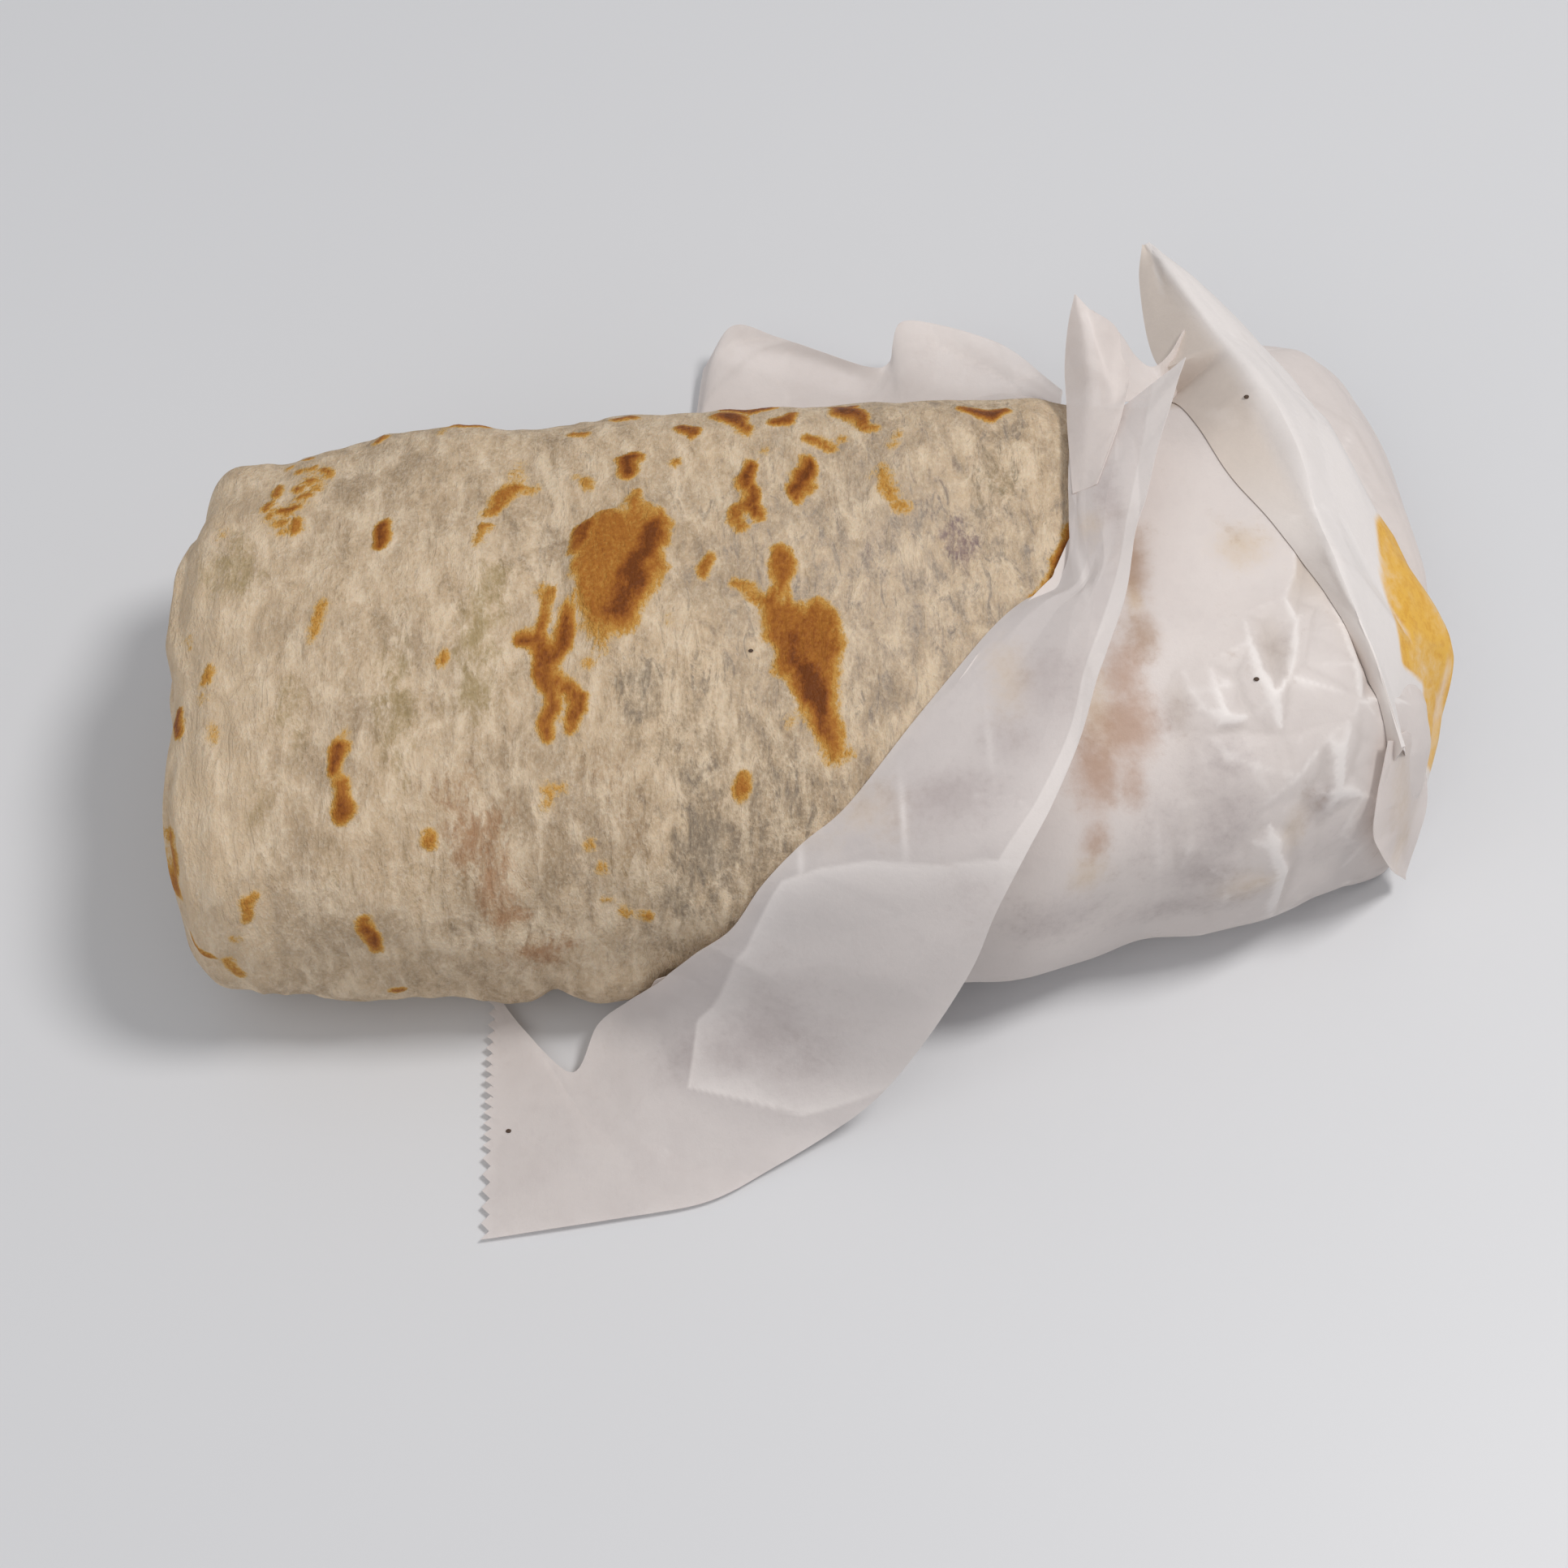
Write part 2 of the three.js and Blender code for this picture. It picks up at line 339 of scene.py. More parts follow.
bpy.ops.object.select_all(action="DESELECT")
bpy.ops.mesh.primitive_uv_sphere_add(segments=SEGMENTS, ring_count=RINGS, radius=1)
tortilla = bpy.context.object
tortilla.name = "tortilla_roll_skin"
bpy.ops.object.mode_set(mode="EDIT")
bpy.ops.mesh.select_all(action="SELECT")
bpy.ops.transform.rotate(value=math.pi / 2, orient_axis="Y", center_override=(0, 0, 0))
bpy.ops.object.mode_set(mode="OBJECT")
ball = mesh_points(tortilla.data)
along = 1 - 2 * np.arccos(np.clip(ball[:, 0], -1, 1)) / math.pi
turn = np.arctan2(ball[:, 2], ball[:, 1])
turn = turn - 0.28 * np.cos(turn)  # more points on top than underneath
skin = roll_surface(along, turn)
move_points(tortilla.data, skin * MM)

# Lumps of filling, wrinkles that run round the roll, and tucks in its ends.
out = point_normals(tortilla.data)
FAR_SIDE_FULLER = 2.4
WRINKLES, LEFT_END_TUCKS = 0.05, 0.36
x, y, z = skin.T
round_the_roll = around(y, z)
off_the_table = smooth(z, 1.0, 9.0)
near_left_end = np.exp(-np.maximum(x + 92, 0) / 20)  # 1 at the left end, fading out along the roll
creases = np.abs(ripples(skin, 9, 4, stretch=(1, 5, 5)))
relief = swelling(skin) + 0.07 * ripples(skin, 7, 3) + 0.05 * ripples(skin, 3.4, 5, stretch=(1, 4, 4))
relief += FAR_SIDE_FULLER * smooth(-round_the_roll, 14, 42) * smooth(x, -88, -55) * (1 - smooth(x, 42, 62))
relief += (WRINKLES + LEFT_END_TUCKS * near_left_end) * (0.55 - creases) * smooth(-x, -40, 30)


def bulge(centre, reach, height):
    """A soft swelling round a point of the roll."""
    apart = (skin - np.array(centre)) / np.array(reach)
    return height * np.exp(-np.sum(apart**2, 1))


# The far corner of the left end sticks out a little, and the fold under the near side bulges.
relief += bulge((-88, 38, 42), (7, 7, 9), 2.6)
relief += bulge((-90, -42, 22), (7, 9, 14), 1.0)
relief += bulge((-47, -44, 8), (8, 9, 7), 1.6)
relief += bulge((-30, -45, 9), (9, 9, 7), 2.2)
relief -= bulge((-38.5, -46, 8), (2.2, 9, 8), 1.6)
relief -= bulge((-20, -46, 9), (2.5, 9, 8), 1.2)

# The rolled layers show on the ends as a shallow spiral.
SPIRAL_TURNS, SPIRAL_STEP, SPIRAL_SINK = 2.6, 1.7, 1.5
end_y, end_z = y / 44, (z - 26) / 28
from_centre = np.hypot(end_y, end_z)
bearing = np.arctan2(end_z, end_y) / (2 * math.pi)
spiral = (from_centre * SPIRAL_TURNS - bearing + 0.12 * ripples(skin, 25, 7)) % 1
layer_edge = smooth(spiral, 0.0, 0.75) - smooth(spiral, 0.86, 1.0)
on_the_end = smooth(np.abs(x), 84, 91) * (1 - smooth(from_centre, 0.72, 0.95))
relief += on_the_end * (SPIRAL_STEP * layer_edge - SPIRAL_SINK)

# The outer edge of the tortilla lies along the lower back, as a low step.
SEAM_AT, SEAM_STEP = -84, 1.3
seam_line = SEAM_AT + 2.5 * ripples(np.stack([x, 0 * x, 0 * x], -1), 60, 8)
beyond_seam = round_the_roll - seam_line
relief += SEAM_STEP * smooth(beyond_seam, -0.6, 0.6) * (1 - smooth(beyond_seam, 5, 24)) * off_the_table


# Toasted marks, each a chain of daubs on the tortilla laid flat: how far along the roll, how far
# round it from the top line, and the daub's radius, in millimetres. depth is how dark it is.
TOAST = [
    (0.60, [(-75, -43, 0.7), (-74.5, -42, 0.6)]),
    (0.60, [(-75.6, -36, 0.6)]),
    (0.50, [(-77.5, -39, 0.4)]),
    (0.60, [(-73.7, -36, 0.6)]),
    (0.60, [(-71.5, -34.5, 0.6), (-71, -33, 0.4)]),
    (0.60, [(-73.4, -31.7, 0.6)]),
    (0.55, [(-72.4, -29.5, 0.5)]),
    (0.65, [(-75.8, -29.8, 0.7)]),
    (0.55, [(-78.8, -31.4, 0.5), (-79, -29, 0.5)]),
    (0.60, [(-74.7, -26.8, 0.6), (-73.3, -26.8, 0.5)]),
    (0.60, [(-80, -26.6, 0.5), (-80.6, -24.5, 0.5)]),
    (0.65, [(-77.6, -23.6, 0.6), (-75.4, -24.3, 0.6)]),
    (0.55, [(-79.4, -22.8, 0.5)]),
    (0.50, [(-78.3, -21.0, 0.4), (-77.2, -21.2, 0.4)]),
    (0.60, [(-74.9, -20.8, 0.6), (-75.5, -18.5, 0.5)]),
    (0.50, [(-77.7, -18.8, 0.4)]),
    (0.16, [(-73.3, -35, 1.8), (-73, -29, 1.8), (-76, -24, 2.2), (-79.5, -24, 1.8)]),
    (0.16, [(-79, -23, 1.4), (-78, -20, 1.4), (-75.3, -19.5, 1.4)]),
    (0.55, [(-63.4, -42, 0.9), (-62.7, -43.5, 0.8)]),
    (0.22, [(-56, -46, 0.6), (-53, -45.5, 0.7), (-51.4, -43.5, 0.5), (-52.7, -40, 0.6)]),
    (0.62, [(-50, -43.5, 1.1), (-46, -44, 1.1)]),
    (0.50, [(-44, -19, 1.5), (-42, -22, 1.8), (-40, -24, 1.5)]),
    (0.32, [(-41, -24, 1.6), (-38.2, -23.5, 1.4)]),
    (0.14, [(-40, -29, 1.3), (-40, -25, 1.3)]),
    (0.50, [(-45.7, -14.7, 0.8), (-44.4, -14.5, 0.5)]),
    (0.30, [(-45.8, -13.6, 0.6), (-46.4, -11.4, 0.5)]),
    (0.80, [(-61, -17.2, 1.0), (-61.4, -15, 1.1), (-61.8, -13.3, 0.8)]),
    (0.35, [(-70.1, -1.6, 0.9), (-71.1, 0.7, 0.7), (-71.9, 3.8, 0.5)]),
    (0.45, [(-51.4, 9.1, 0.6), (-52.1, 10.2, 0.6)]),
    (0.50, [(-92.3, -0.8, 0.6), (-91.9, 0.8, 0.8)]),
    (0.42, [(-87.9, 6.8, 0.4), (-88.3, 8.5, 0.8), (-88.7, 10, 0.6)]),
    (0.20, [(-88.9, 13, 0.8)]),
    (0.12, [(-87.1, -22, 0.6)]),
    (0.70, [(-36.1, -2.3, 0.9), (-35.4, -0.1, 0.7), (-36.6, 3, 0.8), (-37, 7, 1.3), (-36.2, 12, 1.7)]),
    (0.75, [(-39.4, 6.3, 1.3), (-37.1, 7.6, 0.9)]),
    (0.78, [(-32.9, 2.5, 1.1), (-32.4, 5.2, 1.2), (-33.7, 8.4, 1.3), (-35.6, 11.4, 1.1)]),
    (0.70, [(-36, 11, 1.6), (-35.8, 15.8, 1.2), (-36, 19.5, 1.2), (-36.7, 22.7, 0.9)]),
    (0.66, [(-34, 12.8, 0.8), (-32.4, 16.1, 1.2), (-31.8, 18.8, 1.5), (-32.8, 21.8, 0.7)]),
    (0.60, [(-30.8, 17.1, 0.7)]),
    (0.35, [(-29.8, 11, 0.9)]),
    (0.50, [(-21.5, -15, 3.2), (-24.5, -10, 6.4), (-26, -4, 6.0), (-26.5, 1, 4.4), (-27.2, 5.5, 2.4),
            (-27.6, 7.5, 1.2)]),
    (0.50, [(-21.5, -20, 1.0), (-22, -15, 2.2)]),
    (0.85, [(-17.3, -16, 1.2), (-18.6, -12, 3.0)]),
    (0.88, [(-18, -15, 1.5), (-19.8, -9, 3.0), (-22.5, -2, 3.4), (-25, 4.5, 2.6)]),
    (0.74, [(-29.4, -14.2, 1.2), (-31, -9.2, 1.1)]),
    (0.60, [(0.8, -7, 1.9), (1, -3, 1.4), (1.2, 1.2, 0.7), (1.4, 4.5, 0.9)]),
    (0.62, [(-7, -1.7, 1.1), (-4, 0, 1.4), (-1.5, 2, 1.9), (0, 5.2, 2.4)]),
    (0.60, [(3, 7, 5.6), (3.4, 11, 5.3), (4.4, 16, 4.0), (5, 19.5, 3.1), (6.2, 24, 2.4), (7.4, 28.5, 1.5)]),
    (0.60, [(5.8, 3.2, 1.9), (8, 6, 1.6), (8.5, 9.2, 1.2)]),
    (0.92, [(-0.2, 6.5, 1.5), (2.4, 12, 2.2), (4.2, 16, 3.6), (5, 20.5, 2.9), (6.8, 26, 1.7)]),
    (0.55, [(-10.1, -7.3, 0.5), (-10.9, -5.2, 0.9), (-11.2, -3, 0.6)]),
    (0.20, [(-17.1, 4.9, 0.6)]),
    (0.15, [(0, 22.4, 0.8)]),
    (0.50, [(-6.7, 31, 0.9), (-7.6, 33.2, 1.2)]),
    (0.92, [(-22, -28.8, 1.8), (-22.6, -26.2, 1.7)]),
    (0.45, [(-14.7, -27.7, 0.9)]),
    (0.50, [(-31, -37.4, 0.8), (-29.5, -37, 0.8)]),
    (0.62, [(-24, -43, 0.8), (-21.5, -43.5, 0.8)]),
    (0.80, [(-13.6, -36.3, 1.1), (-11.6, -34.8, 1.0)]),
    (0.35, [(-30.6, -25.4, 0.5)]),
    (0.40, [(-29.2, -24.2, 0.8)]),
    (0.88, [(-7.6, -40, 1.2), (-5.5, -39, 1.7), (-4, -37.5, 1.9), (-3.2, -34.6, 1.2)]),
    (0.88, [(-6, -43.5, 1.2), (-1.4, -40.8, 0.9), (1.4, -42.6, 1.0)]),
    (0.75, [(1.6, -36.2, 1.0), (3.6, -36.4, 1.2), (4.6, -38.2, 0.7)]),
    (0.30, [(-0.2, -30, 0.5)]),
    (0.92, [(12.2, -43.2, 1.5), (13.2, -38.6, 2.2), (15.3, -35.3, 1.8), (17.3, -32.6, 1.0)]),
    (0.85, [(15, -41, 1.0)]),
    (0.50, [(6.8, -31.8, 0.8), (8.4, -30.8, 0.8), (10.4, -29.4, 0.7)]),
    (0.45, [(12.2, -31.2, 0.5)]),
    (0.90, [(32, -36.6, 0.6), (34, -34.8, 1.3), (36.5, -34.4, 1.5), (39, -35.6, 1.0)]),
    (0.80, [(-2.8, -27, 1.1), (-3.8, -24, 1.4), (-3.4, -21.2, 1.1), (-2.8, -18.8, 1.2), (-1.7, -15.3, 0.8)]),
    (0.50, [(-3, -18.4, 1.2), (-5.6, -16.6, 1.2), (-5.6, -14.8, 0.9), (-5.2, -12.8, 0.9)]),
    (0.95, [(6.2, -26.8, 1.5), (5.6, -23.8, 2.3), (4.1, -19.8, 1.3)]),
    (0.33, [(17.9, -22.6, 1.0), (19, -19.4, 1.1), (19.4, -16.4, 0.9), (21, -14.9, 1.4)]),
    (0.22, [(16.6, -22.1, 0.5)]),
    (0.28, [(21.2, -30, 0.5)]),
    (0.28, [(20.1, -27.8, 0.6)]),
    (0.80, [(-93.8, 14, 0.5), (-94, 17, 0.9), (-94, 19.6, 0.6)]),
    (0.25, [(-87.2, 18, 0.4), (-87.2, 20.8, 0.4)]),
    (0.85, [(-67.4, 22.7, 0.8), (-68.2, 25.5, 1.2), (-68.4, 27.5, 0.7)]),
    (0.68, [(-67.1, 28.6, 0.7), (-67.4, 31, 1.0), (-68, 33.4, 1.3)]),
    (0.22, [(-66.4, 21, 0.5)]),
    (0.48, [(-54.5, 37, 0.7), (-54.9, 39, 0.8)]),
    (0.80, [(-65.8, 52.5, 1.1), (-65, 56.5, 1.6), (-64.8, 59.5, 0.8)]),
    (0.40, [(-81.8, 46, 0.7), (-83, 48, 1.0), (-83.7, 51, 0.6)]),
    (0.50, [(-95, 38, 0.6), (-95, 44, 0.9), (-95.6, 52, 0.8)]),
    (0.60, [(-93.2, 60, 0.8), (-90.2, 61, 0.7)]),
    (0.30, [(-85.8, 55.2, 0.6)]),
    (0.45, [(-87.3, 61, 0.6), (-86.9, 66, 0.9)]),
    (0.30, [(-30.9, 40.3, 0.8)]),
    (0.30, [(-28.9, 44.3, 0.7)]),
    (0.30, [(-25.8, 52.9, 1.0)]),
    (0.42, [(-23.1, 54.2, 1.0)]),
    (0.25, [(-28.6, 50.5, 0.6)]),
    (0.26, [(-36.7, 34, 0.6), (-36.6, 31.4, 0.5), (-34.5, 31, 0.8)]),
    (0.82, [(46.9, -10, 1.0), (45.4, -4, 2.0), (43.2, 1, 1.4), (40, 4, 0.8)]),
]
# The same griddle marks go on round the back and the underside, out of the near side's view.
scatter = np.random.default_rng(21)
for _ in range(46):
    start_x, start_s = scatter.uniform(-90, 44), scatter.uniform(-128, -60)
    radius = scatter.choice([0.6, 0.8, 1.1, 1.6, 2.6], p=[0.3, 0.3, 0.2, 0.14, 0.06])
    drift = scatter.normal(0, 1.6, 2) * radius
    chain = [(start_x, start_s, radius), (start_x + drift[0] * 0.6, start_s + drift[1], radius * 0.8)]
    TOAST.append((scatter.uniform(0.3, 0.95), chain))
for _ in range(14):
    start_x, start_s = scatter.uniform(-88, 10), scatter.uniform(72, 120)
    TOAST.append((scatter.uniform(0.3, 0.9), [(start_x, start_s, scatter.uniform(0.6, 1.6))]))


def daub_distance(flat_x, flat_s, chain):
    """How far outside a chain of daubs each point lies, in millimetres, and below 0 inside it."""
    nearest = np.full(len(flat_x), 99.0)
    for (x0, s0, r0), (x1, s1, r1) in zip(chain, chain[1:] or chain):
        dx, ds = x1 - x0, s1 - s0
        share = np.clip(((flat_x - x0) * dx + (flat_s - s0) * ds) / max(dx * dx + ds * ds, 1e-9), 0, 1)
        gap = np.hypot(flat_x - x0 - share * dx, flat_s - s0 - share * ds) - (r0 + share * (r1 - r0))
        nearest = np.minimum(nearest, gap)
    return nearest


ragged = np.stack([x, round_the_roll, 0 * x], -1)
warp_x = 0.35 * ripples(ragged, 5, 11) + 0.10 * ripples(ragged, 2.2, 12)
warp_s = 0.45 * ripples(ragged, 6, 13) + 0.12 * ripples(ragged, 2.6, 14)
toast = np.full(len(skin), -1.0)
for depth, chain in TOAST:
    big = min(1.0, max(daub[2] for daub in chain) / 2.5)
    gap = daub_distance(x + warp_x * (0.3 + big), round_the_roll + warp_s * (0.3 + big), chain)
    # A mark fades out where gap reaches edge and is as dark as it gets from core inwards.
    core = -0.40 - (1.3 if depth < 0.8 else 1.9) * big**2
    edge = 0.85 - 0.25 * big
    darkness = depth * (gap - edge) / (core - edge)
    toast = np.maximum(toast, np.minimum(darkness, depth))
store(tortilla.data, "toast", np.clip(toast, -1, 1.2))

# What the filling stains, and broad changes of tone, as soft patches: each one's place along and round the
# roll, its reach along and round, and its strength.
STAINS = {
    "bean": [
        (-51, 30, 5, 5, 0.6), (-48, 37, 5, 7, 0.95), (-45, 45, 4, 8, 1.05), (-44, 53, 3, 4, 1.15),
        (-39, 61, 6, 4, 1.15), (-43, 68, 5, 3, 0.7), (-24, 40, 4, 9, 0.45), (-27, 30, 4, 6, 0.4),
    ],
    "grey": [
        (-15, 31, 5, 7, 0.8), (-13, 41, 6, 9, 1.0), (-17, 50, 5, 8, 0.9), (-20, 58, 4, 6, 0.6),
        (-21, 16, 4, 6, 0.95), (-40, -8, 7, 14, 0.45), (-33, -34, 8, 7, 0.4), (24, 12, 9, 22, 0.4),
        (-14, 22, 9, 12, 0.7), (-4, -24, 3, 6, 0.45), (20, 32, 6, 10, 0.55), (34, -6, 8, 14, 0.5),
        (12, 10, 18, 30, 0.42), (-5, 38, 16, 20, 0.65), (28, 0, 12, 26, 0.45), (-22, 55, 30, 10, 0.42),
        (-50, 8, 20, 26, 0.22), (38, -22, 8, 12, 0.5),
    ],
    "olive": [
        (-44, -3, 4, 5, 1.0), (-46, 5, 3, 6, 1.2), (-47, 14, 4, 7, 1.1), (-86, -15, 5, 6, 0.9),
        (-84, -9, 5, 4, 0.8), (36, -20, 6, 6, 0.6), (-66, 12, 8, 7, 0.35), (-24, 45, 4, 8, 0.5),
        (-58, 46, 8, 7, 0.4), (12, -18, 7, 8, 0.35), (-75, 16, 3, 8, 0.7), (-59, 18, 3, 15, 0.85),
        (-80, 34, 3, 9, 0.6), (-70, 46, 3, 7, 0.55),
    ],
    "ashen": [(20, 0, 34, 40, 0.75)],
    # The left end is painted paler.
    "floured": [(-92, 20, 14, 60, 0.8)],
    "purple": [(28, -10, 2.2, 4, 0.8), (30, -6, 2.0, 4, 1.0), (26, -20, 6, 5, 0.3), (16, -8, 2, 4, 0.4)],
}
for name, spots in STAINS.items():
    strength = np.zeros(len(skin))
    for at_x, at_s, reach_x, reach_s, much in spots:
        apart_x = (x + 2 * warp_x - at_x) / reach_x
        apart_s = (round_the_roll + 2 * warp_s - at_s) / reach_s
        strength = np.maximum(strength, much * np.exp(-(apart_x**2 + apart_s**2) * 0.7))
    store(tortilla.data, name, strength)

# Toasted spots puff up, and the largest is a blister with a sharp edge on its near left side.
PUFF_HEIGHT, BLISTER_HEIGHT = 0.22, 1.1
BLISTER = [(-21, -15.5, 3.4), (-24, -10, 7.4), (-25.5, -4, 7), (-26, 6, 3.2)]
relief += PUFF_HEIGHT * smooth(toast, 0.1, 0.6)
blister = 1 - smooth(daub_distance(x, round_the_roll, BLISTER), -0.1, 0.6)
near_left_side = smooth(-(x + 27) - 0.4 * (round_the_roll - 8), -14, 3)
relief += BLISTER_HEIGHT * blister * near_left_side
relief *= off_the_table


# Where the paper covers it the roll is pressed a little smaller, and its right end is lower than
# the paper's standing fold. The paper's left edge and the roll's right shoulder, going round.
PAPER_EDGE = [(-130, -45), (-112, -38), (-100, -10), (-75, 50), (-45, 50), (-25, 49), (-7, 46), (1, 42),
              (14, 29), (28, 18), (39, 8), (46, 1), (53, -5), (60, -10), (66, -16), (70, -22), (87, -27),
              (110, -40), (130, -45)]
SHOULDER = [(-75, 66), (-45, 70), (-33, 73), (-26, 73), (-20, 74), (-14, 76), (-7, 81), (7, 78)]


def paper_edge(s):
    return np.interp(s, *zip(*PAPER_EDGE))


def hollow(x, s):
    """How far the paper sinks behind the roll's right shoulder."""
    deep = np.interp(s, (-60, -35, -12, 0, 9, 16), (1, 1.5, 1.5, 1, 0.5, 0))
    return deep * smooth(x - np.interp(s, *zip(*SHOULDER)), 2, 9)


DRAWN_IN, DRAWN_IN_AT_END, DROOP = 0.11, 0.30, 15
PRESSED_IN = 1.3
UNDERSIDE, PLY_UNDER_IT = 0.3, 0.6  # how high it lies on the table, and how much more on the paper


def settle(points):
    """Towards the right end the near side draws in and everything droops."""
    x, y, z = points[..., 0], points[..., 1], points[..., 2]
    narrower = DRAWN_IN * smooth(x, 35, 60) + DRAWN_IN_AT_END * smooth(x, 66, 112)
    drawn_in = np.where(y < 0, 1 - narrower, 1.0)
    return np.stack([x, y * drawn_in, z - DROOP * smooth(x, 84, 108)], -1)


covered = smooth(x - paper_edge(round_the_roll), 1, 5)
pressed = swelling(skin) - PRESSED_IN - hollow(x, round_the_roll)
skin = settle(skin + out * (relief * (1 - covered) + pressed * covered)[:, None])
skin[:, 2] = np.maximum(skin[:, 2], UNDERSIDE + PLY_UNDER_IT * covered)
move_points(tortilla.data, skin * MM)
bpy.ops.object.shade_smooth()

wheat = Material(
    "toasted_wheat_tortilla",
    Subsurface_Weight=0.12,
    Subsurface_Radius=(0.0022, 0.0013, 0.0007),
    Subsurface_Scale=1.0,
    Specular_IOR_Level=0.22,
)
# Streaks run round the roll, so their noise is drawn out that way.
ROUND = (1.0, 0.3, 0.3)
cloud = wheat.noise(0.013, (1, 0.65, 0.65), detail=6, roughness=0.68, distortion=0.6)
fine_cloud = wheat.noise(0.0034, (1, 0.46, 0.46), detail=5, roughness=0.7, distortion=0.4)
streak = wheat.noise(0.0019, ROUND, detail=4, roughness=0.7, distortion=1.2)
where = wheat.noise(0.011, (1, 0.7, 0.7), detail=2)
grain = wheat.noise(0.00055, (1, 0.7, 0.7), detail=2, roughness=0.7)
cream, floury, damp = (0.585, 0.435, 0.285), (0.77, 0.615, 0.44), (0.45, 0.33, 0.215)
dough = wheat.mix(cloud.between(0.36, 0.60), damp, cream)
dough = wheat.mix(fine_cloud.between(0.44, 0.66) * 0.75, dough, floury)
ashen = wheat.attribute("ashen")
dough = wheat.mix(fine_cloud.between(0.47, 0.30) * (ashen * 0.35 + 0.58), dough, (0.29, 0.20, 0.115))
veins = streak.between(0.46, 0.33) * where.between(0.34, 0.58)
dough = wheat.mix(veins * (ashen * 0.7 + 0.22), dough, (0.17, 0.13, 0.095))
dough = wheat.mix(grain.between(0.40, 0.75) * 0.25, dough, (0.86, 0.76, 0.62))
mottle = fine_cloud * 0.5 + streak * 0.5 + grain * 0.25
for name, tint, much in (
    ("floured", (0.76, 0.59, 0.405), 0.7),
    ("ashen", (0.50, 0.42, 0.36), 0.6),
    ("bean", (0.38, 0.19, 0.09), 0.75),
    ("grey", (0.17, 0.14, 0.11), 0.70),
    ("olive", (0.34, 0.25, 0.11), 0.75),
    ("purple", (0.19, 0.12, 0.14), 0.75),
):
    patch = wheat.attribute(name)
    dough = wheat.mix((patch * 1.1 - (mottle - 0.53) * 3.2).between(0.05, 1.15) * much, dough, tint)
heat = wheat.attribute("toast") * 1.15
heat = heat + (fine_cloud - 0.5) * 0.36 + (grain - 0.5) * 0.60 + (streak - 0.5) * 0.2
toasted = wheat.node(
    "ShaderNodeValToRGB",
    {
        "stops": [
            (0.00, (0.66, 0.48, 0.29)),
            (0.14, (0.66, 0.42, 0.16)),
            (0.30, (0.59, 0.305, 0.066)),
            (0.55, (0.41, 0.155, 0.021)),
            (0.82, (0.26, 0.076, 0.008)),
            (1.00, (0.16, 0.042, 0.004)),
        ]
    },
    {"Fac": heat},
    "Color",
)
colour = wheat.mix(heat.between(-0.06, 0.30), dough, toasted)
surface = cloud * 0.5 + fine_cloud * 0.9 + streak * 0.9 + grain * 0.35 + heat.between(0.0, 0.6) * 0.4
wheat.finish(
    tortilla,
    Base_Color=colour,
    Roughness=0.78 - heat.between(0.1, 0.8) * 0.22,
    bump=surface,
    bump_depth=0.0006,
)
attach(tortilla, "root")
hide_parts("tortilla_roll")


# ---------------------------------------------------------------------------------------------
# The paper's sleeve. One sheet of thin, waxed white deli paper is wrapped round the right half
# of the roll and gathered at its end. It clings to the roll and is crumpled into flat facets.

PAPER_THICKNESS = 0.12
SLEEVE_END = 104.0
LIGHT_THROUGH = 0.18  # the share of the light that passes through one ply
CLOTHED = 1.5  # from the roll to the paper
SLEEVE_FLOOR = 0.45  # it lies on the bottom ply


def smooth_line(knots, count):
    """Points on a smooth line through the knots, as many from each knot to the next."""
    knots = np.array(knots, float)
    ends = np.vstack([2 * knots[0] - knots[1], knots, 2 * knots[-1] - knots[-2]])
    place = np.linspace(0, len(knots) - 1, count)
    i = np.minimum(place.astype(int), len(knots) - 2)
    t = (place - i)[:, None]
    a, b, c, d = ends[i], ends[i + 1], ends[i + 2], ends[i + 3]
    return b + 0.5 * t * (c - a + t * (2 * a - 5 * b + 4 * c - d + t * (3 * b - a - 3 * c + d)))


def folded(u, v, facet, depth, seed, creases=()):
    """Relief of crumpled paper: flat facets about facet across, between random corners up to depth
    high or low, and through the given creases, each a list of (u, v, height)."""
    random = np.random.default_rng(seed)
    lattice = np.arange(-2, (max(np.ptp(u), np.ptp(v))) / facet + 3) * facet
    corner_u, corner_v = (grid.ravel() for grid in np.meshgrid(lattice + u.min(), lattice + v.min()))
    corner_u = corner_u + random.uniform(-0.42, 0.42, len(corner_u)) * facet
    corner_v = corner_v + random.uniform(-0.42, 0.42, len(corner_v)) * facet
    height = random.uniform(-1, 1, len(corner_u)) * depth
    clear = np.ones(len(corner_u), bool)
    for crease in creases:
        line = [(place[0], place[1], 0.45 * facet) for place in crease]
        clear &= daub_distance(corner_u, corner_v, line) > 0
    corners = list(zip(corner_u[clear], corner_v[clear], height[clear]))
    edges = []
    for crease in creases:
        edges += [(len(corners) + i, len(corners) + i + 1) for i in range(len(crease) - 1)]
        corners += crease
    flat = [Vector(corner[:2]) for corner in corners]
    places, _, faces, origins, _, _ = delaunay_2d_cdt(flat, edges, [], 0, 1e-4)
    heights = [corners[origin[0]][2] if origin else 0.0 for origin in origins]
    facets = BVHTree.FromPolygons([(p.x, p.y, h) for p, h in zip(places, heights)], faces)
    down = Vector((0, 0, -1))
    hits = (facets.ray_cast(Vector((a, b, 99)), down)[0] for a, b in zip(u.ravel(), v.ravel()))
    return np.array([hit.z if hit else 0.0 for hit in hits]).reshape(u.shape)


def relax(points, times, axes=(0, 1)):
    """Softens a grid of points, leaving its outer edge as it is along each axis."""
    for _ in range(times):
        for axis in axes:
            line = np.moveaxis(points, axis, 0)
            line[1:-1] = (line[:-2] + 2 * line[1:-1] + line[2:]) / 4
    return points


